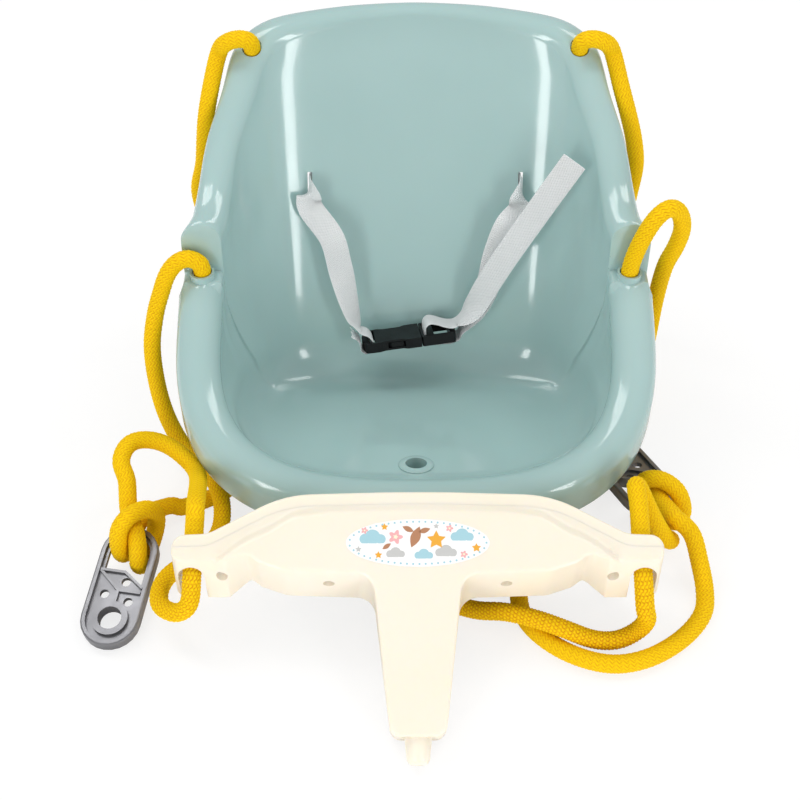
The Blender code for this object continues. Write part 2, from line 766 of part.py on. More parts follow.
def eye_cutter(side, start, end, bottom):
    """A cutter for a rope eye between two v places; its foot is round when bottom is None."""
    top = -EYE_RISE - EYE_HALF
    foot = -EYE_RISE - EYE_HEIGHT + EYE_HALF
    steps = 8
    outline = [Vector((math.cos(math.pi * k / steps), math.sin(math.pi * k / steps))) * EYE_HALF
               + Vector((0, top)) for k in range(steps + 1)]
    if bottom is None:
        outline += [Vector((-math.cos(math.pi * k / steps), -math.sin(math.pi * k / steps)))
                    * EYE_HALF + Vector((0, foot)) for k in range(steps + 1)]
    else:
        outline += [Vector((-EYE_HALF, bottom)), Vector((EYE_HALF, bottom))]
    middle = side * (BAR_HALF_WIDTH - EYE_INSET)
    upright = Matrix(((1, 0, 0, middle), (0, 0, -1, 0), (0, 1, 0, 0), (0, 0, 0, 1)))
    return prism("eye", outline, start, end, upright)


def screw_axis(x):
    """Local start and end of a screw: from under its head, through the bar, into the cap."""
    near = BAR_DEPTH if x < 0.1 else LUG_NEAR
    near += draft(x, near) * SCREW_DEPTH / BAR_THICK
    split = CAP_DEPTH + between([corner[:2] for corner in far_edge()], x)
    return near, near - SCREW_SINK, split - SCREW_BITE


def safety_bar(cap_finish, screw_finish):
    """The bar with its leg and plug, the cap along its far edge, and the four screws."""
    frame = bar_frame()
    body = bar_blank("bar_body")
    cap = bar_blank("bar_cap")
    combine(body, [cap_cutter(CAP_DEPTH + GAP)], "DIFFERENCE")
    combine(cap, [cap_cutter(CAP_DEPTH)], "INTERSECT")
    plug_place = Matrix.Translation((0, -LEG_LENGTH + 0.004, -BAR_THICK / 2)) @ Matrix.Rotation(
        math.pi / 2, 4, "X")
    length = PLUG_LENGTH + 0.004
    plug = turned("plug", [(0, 0), (PLUG_ROOT, 0), (PLUG_TIP + 0.0006, length - 0.003),
                           (PLUG_TIP - 0.0008, length - 0.0006), (PLUG_TIP - 0.003, length),
                           (0, length)], plug_place)
    combine(body, [plug], "UNION")
    cuts = []
    cap_cuts = []
    for side in (-1, 1):
        cuts.append(eye_cutter(side, -0.01, 0.08, -BAR_THICK - 0.01))
        cap_cuts.append(eye_cutter(side, -0.01, 0.08, None))
        flip = Matrix.Scale(side, 4, (1, 0, 0))
        window = (0.0065, -LEG_LENGTH - 0.004, -BAR_THICK / 2 + 0.0062)
        window_end = (0.0112, -LEG_LENGTH + 0.007, -BAR_THICK / 2 + 0.0092)
        cuts.append(block("window", window, window_end, flip))
        for x in (SCREW_X, BAR_HALF_WIDTH - SCREW_INSET):
            near, seat, tip = screw_axis(x)
            w = -SCREW_DEPTH
            hole = SCREW_HEAD + 0.0006
            shank = SCREW_SHANK + GAP
            cuts.append(rod("sink", (side * x, -seat, w), (side * x, -near - 0.01, w), hole, 16))
            cuts.append(rod("shank", (side * x, -tip, w), (side * x, -seat - 0.001, w), shank, 12))
            cap_cuts.append(rod("shank", (side * x, -tip + GAP, w),
                                (side * x, -seat, w), shank, 12))
    combine(body, cuts, "DIFFERENCE")
    combine(cap, cap_cuts, "DIFFERENCE")
    pivot = rocking_line()
    pieces = [(body, cap_finish), (cap, cap_finish)]
    pieces += [(screw, screw_finish) for screw in bar_screws()]
    for made, finish in pieces:
        made.data.transform(Matrix.Translation(-pivot))
        made.matrix_world = frame @ Matrix.Translation(pivot)
        made.data.materials.clear()
        made.data.materials.append(finish)
        smooth(made)
    return body


def bar_screws():
    """Four pan head screws that hold the cap."""
    made = []
    for side, hand in ((-1, "left"), (1, "right")):
        for x, place in ((SCREW_X, "inner"), (BAR_HALF_WIDTH - SCREW_INSET, "outer")):
            _, seat, tip = screw_axis(x)
            start = Matrix.Translation((side * x, -seat - GAP, -SCREW_DEPTH)) @ Matrix.Rotation(
                math.pi / 2, 4, "X")
            length = seat - tip - GAP
            made.append(turned(f"bar_screw_{hand}_{place}", [
                (0, SCREW_HEAD_HIGH), (SCREW_HEAD * 0.75, SCREW_HEAD_HIGH),
                (SCREW_HEAD, SCREW_HEAD_HIGH * 0.5), (SCREW_HEAD, 0), (SCREW_SHANK, 0),
                (SCREW_SHANK, 0.001 - length), (0, -length)], start, 12))
    return made


def stadium(width, length, steps=12):
    """A slot-shaped outline with round ends, its length along Y."""
    half = width / 2
    straight = length / 2 - half
    outline = []
    for end in (1, -1):
        for k in range(steps + 1):
            angle = math.pi * k / steps
            outline.append(Vector((end * half * math.cos(angle),
                                   end * (straight + half * math.sin(angle)))))
    return outline


def plate_opening():
    """Outline of the rope opening, with its slanted near edge."""
    half = PLATE_WIDTH / 2 - PLATE_BAR
    middle = PLATE_LENGTH / 2 - PLATE_WIDTH / 2
    steps = 10
    outline = [Vector((half * math.cos(math.pi * k / steps),
                       middle + half * math.sin(math.pi * k / steps))) for k in range(steps + 1)]
    outline += [Vector((-half, middle - 0.014)), Vector((0.001, middle - 0.014)),
                Vector((half, middle - 0.024))]
    return outline


def hang_plate(name, place, finish):
    """A hang plate: a rimmed slot shape with a web, an eye, a rope opening and ribs."""
    half = PLATE_THICK / 2
    made = prism(name, stadium(PLATE_WIDTH, PLATE_LENGTH), -half, half)
    edge = made.modifiers.new("edge", "BEVEL")
    edge.width = 0.0012
    edge.segments = 2
    edge.limit_method = "ANGLE"
    edge.angle_limit = math.radians(60)
    bake(made)
    inner = stadium(PLATE_WIDTH - 2 * PLATE_RIM, PLATE_LENGTH - 2 * PLATE_RIM)
    web = PLATE_WEB / 2
    combine(made, [prism("pocket", inner, web, half + 0.001),
                   prism("pocket", inner, -half - 0.001, -web)], "DIFFERENCE")
    eye_y = PLATE_WIDTH / 2 - PLATE_LENGTH / 2
    rope_y = -eye_y
    collar = PLATE_EYE + PLATE_EYE_WALL
    ridge = web + PLATE_RIB
    joint = Vector((0.000, rope_y - 0.030))
    adds = [rod("collar", (0, eye_y, -half), (0, eye_y, half), collar)]
    opening_half = PLATE_WIDTH / 2 - PLATE_BAR
    lip = [(-opening_half - 0.002, rope_y - 0.0155), (0.0017, rope_y - 0.0155),
           (opening_half + 0.002, rope_y - 0.0264)]
    lines = ((joint, Vector((-0.0165, rope_y - 0.016))), (joint, Vector((0.0165, -0.004))),
             (joint, Vector((0, eye_y + collar - 0.001))),
             (Vector(lip[0]), Vector(lip[1])), (Vector(lip[1]), Vector(lip[2])))
    for i, (start, end) in enumerate(lines):
        way = (end - start).normalized()
        wide = Vector((-way.y, way.x)) * PLATE_RIB / 2
        high = ridge + 0.0001 * i
        adds.append(prism("rib", [start - wide, end - wide, end + wide, start + wide],
                          -high, high))
    combine(made, adds, "UNION")
    cuts = [prism("opening", plate_opening(), -half - 0.001, half + 0.001),
            rod("eye", (0, eye_y, -half - 0.001), (0, eye_y, half + 0.001), PLATE_EYE)]
    for x, y in ((0.0035, rope_y - 0.0225), (-0.0095, rope_y - 0.0335), (0.0090, rope_y - 0.0375)):
        cuts.append(rod("hole", (x, y, -half - 0.001), (x, y, half + 0.001), PLATE_HOLE, 12))
    combine(made, cuts, "DIFFERENCE")
    bar = Vector((0, PLATE_LENGTH / 2 - PLATE_BAR / 2, 0))
    made.data.transform(Matrix.Translation(-bar))
    made.matrix_world = place
    made.data.materials.clear()
    made.data.materials.append(finish)
    smooth(made)
    return made


def plate_place(side):
    """World matrix of a hang plate, in the middle of its rope bar, with Y towards that end."""
    x, y, heading = PLATE_LEFT if side < 0 else PLATE_RIGHT
    lift = (PLATE_LENGTH - PLATE_BAR / 2) * math.sin(PLATE_TILT)
    lift += PLATE_THICK / 2 * math.cos(PLATE_TILT) + GAP
    return (Matrix.Translation((x, y, lift)) @ Matrix.Rotation(heading, 4, "Z")
            @ Matrix.Rotation(PLATE_TILT, 4, "X"))


def mm(*triples):
    return [Vector(triple) / 1000 for triple in triples]


def rope(name, points, finish, step=0.020):
    """A round rope along a smooth curve through hand-chosen points."""
    curve = bpy.data.curves.new(name, "CURVE")
    curve.dimensions = "3D"
    curve.bevel_depth = ROPE / 2
    curve.bevel_resolution = 2
    curve.use_fill_caps = True
    route = spaced(catmull(points, 12), step)
    route.insert(1, route[0] + (points[1] - points[0]).normalized() * 0.002)
    route.insert(-1, route[-1] + (points[-2] - points[-1]).normalized() * 0.002)
    line = curve.splines.new("POLY")
    line.points.add(len(route) - 1)
    for i, p in enumerate(route):
        line.points[i].co = (*p, 1)
    curve.materials.append(finish)
    made = bpy.data.objects.new(name, curve)
    bpy.context.scene.collection.objects.link(made)
    return made


def hitch_points(side):
    """The doubled turn of rope round a hang plate's rope bar, in the plate's frame."""
    place = plate_place(side)
    if side < 0:
        path = mm((-9, 22, 20), (-6, 10, 14.5), (-1, 1, 12.3), (4, -7, 12.3), (7, -16, 9.5),
                  (7.5, -23.5, 1), (7.6, -22, -8), (8, -13, -12.6), (8.5, -2, -13.6), (9, 8, -13),
                  (10, 15.5, -6), (10.5, 15.5, 6), (9, 12, 17.5), (4, 5.5, 25), (-1.5, -2, 26.8),
                  (-6.5, -9.5, 21.5), (-7.4, -15.5, 10.5), (-7.4, -17, 0), (-7.4, -12.5, -10.5),
                  (-7.4, -2, -13.6), (-6.5, 9, -13.2), (-4, 19, -14), (0, 28, -17), (8, 34, -20))
    else:
        path = mm((5, 22, 14), (4, 8, 12.9), (-1.5, -4, 12.3), (-6, -11.5, 10), (-7.4, -15.5, 1),
                  (-7.4, -12.5, -10.5), (-7.4, -1, -13.5), (-9, 10.5, -10), (-11, 14, 1),
                  (-10.5, 13.5, 10), (-8, 9.5, 20), (-1, 1.5, 26.3), (5, -7, 24),
                  (7.4, -14.5, 15.5), (7.4, -16, 4), (7.4, -13, -10), (7.4, -1, -13.5),
                  (7.4, 10, -13), (7, 21, -10))
    return [place @ p for p in path]


def ledge_top(side):
    """The point where the rope comes out of a ledge's hole."""
    return Vector((side * LEDGE_X, LEDGE_FRONT + LEDGE_DEPTH / 2, ARM_HEIGHT + RIM_HALF))


def back_exit(side):
    """The point where the rope comes out of a hole in the backrest's rim, and its direction."""
    centre, way = back_hole()
    return Vector((side * centre.x, centre.y, centre.z)) + way * 0.014, way


def bar_point(side, v, w=0.0):
    """A world point on a rope eye's middle line, or at a height above it."""
    return bar_frame() @ Vector((side * (BAR_HALF_WIDTH - EYE_INSET), -v, w - EYE_RISE - EYE_HALF))


def ropes(finish):
    """Each side's rope: round the hang plate, through the safety bar, the ledge and the back."""
    for side, hand in ((-1, "left"), (1, "right")):
        hitch = hitch_points(side)
        rope(f"rope_{hand}_hitch", hitch, finish, 0.0055)
        first = hitch[0] + (hitch[0] - hitch[1]).normalized() * GAP
        last = hitch[-1] + (hitch[-1] - hitch[-2]).normalized() * GAP
        first_way = (hitch[0] - hitch[1]).normalized()
        last_way = (hitch[-1] - hitch[-2]).normalized()
        eye = [bar_point(side, v) for v in (0.004, 0.018, 0.032, 0.046, 0.056)]
        top = ledge_top(side)
        flip = Vector((side, 1, 1))
        if side < 0:
            front = [first, first + first_way * 0.010] + mm(
                (-218, -84, 61), (-214, -70, 64), (-204, -62, 61), (-190, -61, 56),
                (-175, -70, 52), (-162, -88, 51)) + eye + mm(
                (-157, -200, 42), (-168, -199.5, 32), (-181, -187, 27), (-180, -161, 21),
                (-160, -128, 9), (-148, -108, 9), (-147, -88, 21), (-158, -64, 26),
                (-178, -44, 32), (-192, -25, 45), (-200, -8, 64), (-203, 8, 90), (-199, 19, 114),
                (-193, 24, 132), (-187, 27, 147), (-179, 29, 157), (-170, 30.5, 160)) + [
                top + UP * 0.012, top + UP * 0.005, top]
            back_start = [last, last + last_way * 0.008] + mm(
                (-181, -83, 7), (-166, -77, 7), (-148, -66, 7), (-135, -48, 7), (-129, -22, 7),
                (-131, 4, 7))
            over = mm((-157, 145, 235), (-162, 138, 214), (-165, 135, 194), (-168, 134, 172))
        else:
            front = [last, last + last_way * 0.008] + mm((180, -135, 35), (168, -135, 58)) + [
                bar_point(side, -0.012, -0.004)] + eye + mm(
                (157, -199.5, 38), (160.5, -198, 21), (154, -199, 9), (140, -205, 7.5), (123, -206, 10),
                (102, -203, 18.5), (84, -197, 21), (62, -189.5, 19.5), (40, -180.5, 10),
                (15, -166, 7), (8, -143, 7),
                (24, -121, 9), (62, -104, 20), (95, -94, 23), (113, -78, 22), (121, -52, 18),
                (124, -25, 9), (135, -2, 7), (150, 14, 7), (170, 29, 9), (185, 46, 22),
                (190, 58, 52), (192, 63, 92), (194, 60, 128), (198, 54, 152), (199, 48, 174),
                (194, 43, 192), (185, 38, 201), (175, 33, 196), (168, 31, 182)) + [
                top + Vector((0.002, 0, 0.022)), top + UP * 0.008, top]
            back_start = [first, first + first_way * 0.010] + mm(
                (199, -133, 38), (206, -143, 19), (209, -162, 7.5), (204, -183, 7), (186, -204, 7),
                (160, -220, 7), (133, -224.5, 7), (105, -215, 7), (83, -196, 7), (74, -174, 7),
                (78, -146, 7), (92, -118, 7),
                (100, -90, 7), (100, -60, 7), (105, -22, 7), (118, 6, 7))
            over = mm((158, 145, 234), (165, 138, 214), (171, 135, 194), (175, 134, 172))
        rope(f"rope_{hand}_front", front, finish, 0.016)
        inside = top - UP * (GAP + 0.0002)
        hole, way = back_exit(side)
        seat = [inside, inside - UP * 0.010, inside - UP * 0.024] + [p * flip for p in mm(
            (161, 39, 104), (160, 54, 92), (159, 80, 94), (159, 106, 118), (156, 132, 152),
            (146, 157, 186))] + [hole - way * 0.045, hole - way * 0.020, hole - way * 0.002]
        rope(f"rope_{hand}_seat", seat, finish)
        outward = Vector((side, 0, 0))
        back = back_start + [p * flip for p in mm(
            (137, 32, 7), (146, 60, 7), (149, 98, 8), (150, 124, 18),
            (156, 136, 50), (166, 138, 90), (172, 136, 122), (174, 134, 148))] + over[::-1] + [
            hole - way * 0.008 + outward * 0.026, hole + way * 0.005 + outward * 0.019,
            hole + way * 0.0105 + outward * 0.009, hole + way * 0.008 + outward * 0.001,
            hole + way * 0.003, hole - way * 0.0015]
        rope(f"rope_{hand}_back", back, finish, 0.016)


def ribbon(name, stations, finish, thick=WEBBING_THICK, width=WEBBING):
    """Webbing: a thin flat bar through points, each with the direction of its width."""
    middles = catmull([point for point, _ in stations], 5)
    sides = catmull([side.normalized() for _, side in stations], 5)
    points = []
    count = len(middles)
    edges = None
    for i, middle in enumerate(middles):
        along = (middles[min(i + 1, count - 1)] - middles[max(i - 1, 0)]).normalized()
        side = (sides[i] - along * sides[i].dot(along)).normalized() * width / 2
        before = edges or [middle - side - along, middle + side - along]
        edges = [middle - side, middle + side]
        for k in (0, 1):
            short = FOLD_STEP - (edges[k] - before[k]).dot(along)
            edges[k] += along * max(short, 0.0)
        face = along.cross(edges[1] - edges[0]).normalized() * thick / 2
        centre = (edges[0] + edges[1]) / 2
        points += [edges[0] - face, centre - face, edges[1] - face,
                   edges[1] + face, centre + face, edges[0] + face]
    ring = 6
    faces = [tuple(range(ring)), tuple(range(ring * count - ring, ring * count))]
    for i in range(count - 1):
        for k in range(ring):
            j = (k + 1) % ring
            faces.append((ring * i + k, ring * i + j, ring * (i + 1) + j, ring * (i + 1) + k))
    made = new_object(name, mesh_from(name, points, faces), finish)
    smooth(made)
    return made


def buckle_frame():
    """World matrix of the buckle: X towards its tongue, Y across, Z off the seat."""
    turn = (Matrix.Rotation(-PAN_SLOPE, 4, "X") @ Matrix.Rotation(BUCKLE_TURN, 4, "Z")
            @ Matrix.Rotation(-BUCKLE_RISE, 4, "Y"))
    return Matrix.Translation(BUCKLE_MIDDLE) @ turn


def placed(made, place, finish, origin=Vector()):
    """Give a piece its frame, with its own origin at a point of that frame."""
    made.data.transform(Matrix.Translation(-origin))
    made.matrix_world = place @ Matrix.Translation(origin)
    made.data.materials.clear()
    made.data.materials.append(finish)
    smooth(made)
    return made


def buckle(finish):
    """The side-release buckle: the socket, the tongue and its two springy prongs."""
    place = buckle_frame()
    half_y = BUCKLE_WIDTH / 2
    half_z = BUCKLE_THICK / 2
    waist = half_y - 0.002
    outline = rounded_outline([
        (0, -half_y, 0), (0, half_y, 0), (-0.0115, half_y, 0.004), (-0.0150, waist, 0.004),
        (-0.0300, waist, 0.004), (-0.0340, half_y - 0.0005, 0.004),
        (0.0065 - SOCKET_LONG, half_y - 0.001, 0.003), (-SOCKET_LONG, half_y * 0.2, 0.008),
        (0.0005 - SOCKET_LONG, -half_y * 0.4, 0.008), (0.0025 - SOCKET_LONG, 0.001 - half_y, 0.003),
        (-0.0340, 0.0005 - half_y, 0.004), (-0.0300, -waist, 0.004),
        (-0.0150, -waist, 0.004), (-0.0115, -half_y, 0.004)])
    female = prism("buckle_socket", outline, -half_z, half_z)
    room_y = half_y - BUCKLE_WALL
    room_z = half_z - BUCKLE_WALL
    slot_y = WEBBING / 2 + WEBBING_PLAY
    slot_z = half_z + 0.001
    cuts = [block("room", (-0.032, 0.002 - room_y, -room_z), (-0.012, room_y - 0.002, room_z)),
            block("mouth", (-0.013, -room_y, -room_z), (0.002, room_y, room_z)),
            block("strap", (SOCKET_BAR - SOCKET_LONG, -slot_y, -slot_z),
                  (SOCKET_BAR + SOCKET_SLOT - SOCKET_LONG, slot_y, slot_z))]
    for side in (-1, 1):
        cuts.append(block("window", (-0.027, side * (room_y - 0.003), -room_z + 0.0003),
                          (-0.013, side * (half_y + 0.001), room_z - 0.0003)))
    combine(female, cuts, "DIFFERENCE")
    placed(female, place, finish)
    start = 0.0006
    end = start + TONGUE_LONG
    body = [(start, -half_y, 0.002), (end, -half_y, 0.003), (end, half_y, 0.003),
            (start, half_y, 0.002)]
    male = prism("buckle_tongue", rounded_outline(body), -half_z, half_z)
    guide = block("guide", (-0.022, -0.0022, 0.0006 - room_z), (start + 0.002, 0.0022, room_z - 0.0006))
    combine(male, [guide], "UNION")
    cross = start + TONGUE_ROOT + TONGUE_SLOT
    combine(male, [block("strap", (start + TONGUE_ROOT, -slot_y, -slot_z), (cross, slot_y, slot_z)),
                   block("strap", (cross + CROSS_BAR, -slot_y, -slot_z),
                         (end - END_BAR, slot_y, slot_z))], "DIFFERENCE")
    placed(male, place, finish)
    high = room_z - 0.0008
    for side, hand in ((-1, "near"), (1, "far")):
        root = start - GAP
        arm = [(root, side * 0.0065), (root, side * 0.0093), (-0.0120, side * 0.0098),
               (-0.0145, side * 0.0118), (-0.0240, side * 0.0118), (-0.0275, side * 0.0090),
               (-0.0265, side * 0.0066), (-0.0150, side * 0.0080)]
        prong = prism(f"buckle_prong_{hand}", [Vector(p) for p in arm], -high, high)
        placed(prong, place, finish, Vector((root, side * 0.0079, 0)))


def belt(finish):
    """The lap belt: from the socket behind the backrest to the tongue, and its free end."""
    place = buckle_frame()
    across = place.to_3x3() @ Vector((0, 1, 0))

    def by_buckle(*places):
        return [(place @ Vector((x, 0, z)), across) for x, z in places]

    left_slot, right_slot = slot_frame(-1), slot_frame(1)
    up = left_slot.to_3x3() @ Vector((0, 1, 0))
    left, right = left_slot.translation, right_slot.translation
    front = left_slot.to_3x3() @ Vector((0, 0, 1))
    behind = (left + right) / 2 - front * 0.018
    inward = Vector((0.004, 0, 0))
    through = SOCKET_BAR + SOCKET_SLOT / 2 - SOCKET_LONG
    over = BUCKLE_THICK / 2 + WEBBING_THICK / 2 + 2 * GAP
    end = TONGUE_LONG + 2 * GAP
    turned_back = 2 * GAP + TONGUE_ROOT + TONGUE_SLOT / 2
    left_hang = list(zip(mm((-49, 61, 73), (-54, 69, 89), (-59.5, 78.5, 110.5), (-66, 88, 134)),
                         mm((350, 700, -200), (500, 700, 300), (600, 450, 600), (750, 400, 450))))
    right_hang = list(zip(mm((72, 92, 142), (64, 85, 120), (59, 75.5, 98), (50.5, 71.5, 76)),
                          mm((-800, 400, 400), (-700, 500, 500), (-720, 500, 450), (-600, 700, 200))))
    tail = list(zip(mm((47, 67, 79), (57, 70, 99), (71, 75.5, 124), (88, 83, 150.5),
                       (104.5, 88, 178), (120, 93, 203)),
                    mm((-600, 700, 200), (-750, 500, 450), (-800, 400, 400), (-800, 400, 400),
                       (-800, 400, 400), (-800, 400, 400))))
    ribbon("belt_fixed", by_buckle((through, -0.0030), (through, 0.0035),
                                   (through - 0.003, over + 0.003), (through - 0.009, 0.0125))
           + left_hang + slot_exit(-1, 0.0)[::-1] + [
        (left - front * 0.006, up), (left - front * 0.012 + inward, up),
        (Vector((left.x * 0.85, behind.y, behind.z)), up), (behind, up),
        (Vector((right.x * 0.85, behind.y, behind.z)), up), (right - front * 0.012 - inward, up),
        (right - front * 0.006, up), (right, up), (right + front * 0.003, up),
        (right + front * 0.006, up)], finish)
    ribbon("belt_free", slot_exit(1, 0.006 + GAP) + right_hang + by_buckle(
        (end + 0.0065, 0.0004), (end + 0.0030, -0.0046), (end - 0.0040, -over - 0.0012),
        (end / 2 + 0.0010, -over - 0.0008),
        (turned_back + 0.0030, -over - 0.0002), (turned_back, -0.0045), (turned_back, -0.0015)),
        finish)
    ribbon("belt_tail", by_buckle(
        (turned_back, -0.0015 + GAP), (turned_back, 0.0040), (turned_back + 0.0008, 0.0095),
        (turned_back + 0.0045, 0.0123), (turned_back + 0.0100, 0.0110),
        (end - 0.0080, 0.0080), (end - 0.0015, over + 0.0008), (end + 0.0050, 0.0085))
        + tail, finish)


def slot_exit(side, start):
    """The webbing's turn out of a belt slot: on edge in the slot, then twisting to hang down."""
    frame = slot_frame(side)
    up = frame.to_3x3() @ Vector((0, 1, 0))
    front = frame.to_3x3() @ Vector((0, 0, 1))
    at = frame.translation
    return [(at + front * start, up), (at + front * (start + 0.003), up),
            (at + front * (start + 0.0065) - UP * 0.0005, up - Vector((side * 0.15, 0, 0))),
            (at + front * (start + 0.012) + Vector((0, -0.001, -0.005)),
             Vector((-side * 0.55, 0.3, 0.75))),
            (at + front * (start + 0.014) + Vector((-side * 0.001, -0.004, -0.015)),
             Vector((-side * 0.8, 0.35, 0.45)))]


def main():
    clear_scene()
    teal = material("moulded_teal", COLOURS["seat"], 0.25)
    cream = material("moulded_cream", COLOURS["bar"], 0.3)
    yellow = material("braided_yellow", COLOURS["rope"], 0.85)
    grey = material("moulded_grey", COLOURS["plate"], 0.4, 0.3)
    white = material("woven_white", COLOURS["belt"], 0.8)
    black = material("moulded_black", COLOURS["buckle"], 0.35)
    steel = material("screw_steel", COLOURS["steel"], 0.4, 1.0)
    seat_shell(teal)
    safety_bar(cream, steel)
    hang_plate("hang_plate_left", plate_place(-1), grey)
    hang_plate("hang_plate_right", plate_place(1), grey)
    ropes(yellow)
    buckle(black)
    belt(white)


main()
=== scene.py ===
"""Child rope swing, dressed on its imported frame.

The seat, the safety bar, the ropes and the belt are made again here with fine surfaces, from
the same cuts, outlines and routes as the solids that they stand for. The hang plates, the
buckle and the screws keep their solids and get their materials. Lengths are metres.
"""

import json
import math

import bmesh
import bpy
import numpy as np
from mathutils import Matrix, Vector

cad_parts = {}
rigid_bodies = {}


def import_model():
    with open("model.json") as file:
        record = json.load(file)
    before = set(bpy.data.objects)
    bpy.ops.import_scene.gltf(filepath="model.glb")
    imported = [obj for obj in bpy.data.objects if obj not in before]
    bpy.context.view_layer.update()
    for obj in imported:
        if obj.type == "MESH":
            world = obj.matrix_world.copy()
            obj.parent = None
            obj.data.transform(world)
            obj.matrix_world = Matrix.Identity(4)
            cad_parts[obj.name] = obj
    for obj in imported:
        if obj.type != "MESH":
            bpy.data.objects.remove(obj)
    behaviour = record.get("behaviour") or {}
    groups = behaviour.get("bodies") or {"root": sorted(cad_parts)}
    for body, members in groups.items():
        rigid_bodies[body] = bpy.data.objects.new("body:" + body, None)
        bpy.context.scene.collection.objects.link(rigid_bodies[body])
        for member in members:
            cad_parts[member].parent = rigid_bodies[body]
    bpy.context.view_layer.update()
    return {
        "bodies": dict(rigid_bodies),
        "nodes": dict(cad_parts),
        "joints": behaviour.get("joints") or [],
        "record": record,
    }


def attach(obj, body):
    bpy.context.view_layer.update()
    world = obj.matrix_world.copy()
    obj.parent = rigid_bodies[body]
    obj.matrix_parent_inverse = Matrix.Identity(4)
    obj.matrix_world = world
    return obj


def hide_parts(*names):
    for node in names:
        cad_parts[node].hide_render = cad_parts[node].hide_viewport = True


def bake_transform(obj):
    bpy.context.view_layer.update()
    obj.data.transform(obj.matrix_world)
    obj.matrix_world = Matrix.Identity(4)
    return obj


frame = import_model()

bl_info = {
    "name": "Child rope swing",
    "version": (1, 0, 0),
    "blender": (4, 5, 0),
    "location": "3D View > Sidebar > Swing",
    "description": "Dresses the packed model of a child rope swing",
    "category": "Object",
}

UP = Vector((0, 0, 1))
# Clearance between pieces that lie against each other
GAP = 0.0003

# Seat shell: the pan, the walls and the rolled rim
WALL = 0.003
PAN_HALF_WIDTH = 0.134
PAN_FRONT = 0.097
PAN_BACK = 0.062
PAN_POWER = 3.0
PAN_REAR_HEIGHT = 0.008
PAN_SLOPE = math.radians(18)
PAN_FILLET = 0.034
FRONT_FILLET = 0.010
RIM_X = 0.1635
RIM_FRONT = 0.1175
RIM_POWER = 2.8
RIM_HALF = 0.0165
LIP_HEIGHT = 0.054
LIP_LEAD_IN = math.radians(45)
FLANGE_DROP = 0.019
BACK_FLANGE_DROP = 0.012

# The armrest step: a flat ledge with a rope hole, and the ear wall behind it, whose hidden face
# lies further back by its step times the wall
ARM_HEIGHT = 0.125
LEDGE_FRONT = 0.023
LEDGE_DEPTH = 0.017
LEDGE_X = 0.1612
LEDGE_HALF = 0.0150
LEDGE_SQUARE = 7.0
EAR_X = LEDGE_X - 0.0006
EAR_HALF = 0.0150
EAR_RISE = 0.042
EAR_STEP = 0.8
ARM_BELLY = 0.0045
EAR_BELLY = 0.009
COLLAR_RISE = 0.005
COLLAR_WALL = 0.0017

# The centre line of the backrest's rim: how far back and up its top is, and how far out its
# corner and its side are
BACK_TOP_Y = 0.191
BACK_TOP_HEIGHT = 0.272
BACK_CORNER_X = 0.127
BACK_SIDE_X = 0.150

# Ropes and their holes
ROPE = 0.013
ROPE_PLAY = 0.001
BACK_HOLE_TILT = math.radians(27)
BACK_HOLE_SHARE = 0.56

# Belt slots in the backrest, and the webbing
SLOT_X = 0.0835
SLOT_HEIGHT = 0.1585
SLOT_LENGTH = 0.023
WEBBING = 0.020
WEBBING_THICK = 0.0014
SLOT_PLAY = 0.0011

# The socket for the safety bar's plug
SOCKET_Y = -0.0825
SOCKET_BOSS = 0.013
SOCKET_BOSS_RISE = 0.002
SOCKET_TUBE = 0.022
SOCKET_PLAY = 0.0008

# Ribs under the pan, which the seat stands on
RIB_X = 0.066
RIB_THICK = 0.005
RIB_FRONT = -0.076
RIB_REAR = 0.030

# Safety bar, in its own frame: x across, v from the far edge to the plug, w up, 0 on the top.
# Its near faces lean outwards towards the bottom by the draft.
BAR_THICK = 0.042
BAR_EDGE = 0.007
BAR_HALF_WIDTH = 0.1675
BAR_DEPTH = 0.0585
BAR_DRAFT = 0.0085
BAR_LEAN = math.radians(30)
CAP_DEPTH = 0.0088

# The bar's lugs at its ends, the notches beside them, and its leg
LUG_FAR = 0.0298
LUG_NEAR = 0.0485
LUG_DRAFT = 0.018
LUG_WIDTH = 0.0375
LUG_CORNER = 0.0245
NOTCH_SIDE = 0.0145
NOTCH_WIDTH = 0.022
NOTCH_NEAR = 0.0445
LEG_HALF_TOP = 0.0292
LEG_HALF_END = 0.0183
LEG_LENGTH = 0.164
LEG_THICK_END = 0.025

# The ropes' eyes through the lugs, the plug at the leg's end, and the cap's screws in their sinks
EYE_INSET = 0.013
EYE_HALF = 0.0092
EYE_RISE = 0.0115
EYE_HEIGHT = 0.023
PLUG_ROOT = 0.0095
PLUG_TIP = 0.0072
PLUG_LENGTH = 0.017
PLUG_SINK = 0.004
SCREW_X = 0.0605
SCREW_INSET = 0.034
SCREW_DEPTH = 0.0185
SCREW_HEAD = 0.0034
SCREW_PLAY = 0.0006
SCREW_SHANK = 0.0017
SCREW_BITE = 0.007
SCREW_SINK = 0.012

# The raised middle of the bar's top: how far the top drops beside it, in the middle and at
# the lugs, how wide the step is, the step's line as (x, v) places, and the grid that shapes it
DOME_DROP = 0.003
DOME_DROP_LUG = 0.006
DOME_STEP = 0.008
DOME_LINE = ((0.0, 0.012), (0.060, 0.013), (0.085, 0.0165), (0.102, 0.0274), (0.114, 0.0325),
             (0.1266, 0.041), (0.136, 0.050))
DOME_GRID = 0.004

# Hang plates: the size of one, where each lies, as its rope bar's place (x, y) and the heading of
# its length, and how far it tips up on its hitch
PLATE_LENGTH = 0.094
PLATE_THICK = 0.010
PLATE_BAR = 0.006
PLATE_LEFT = (-0.206, -0.122, math.radians(-9.4))
PLATE_RIGHT = (0.183, -0.097, math.radians(201))
PLATE_TILT = math.radians(12)

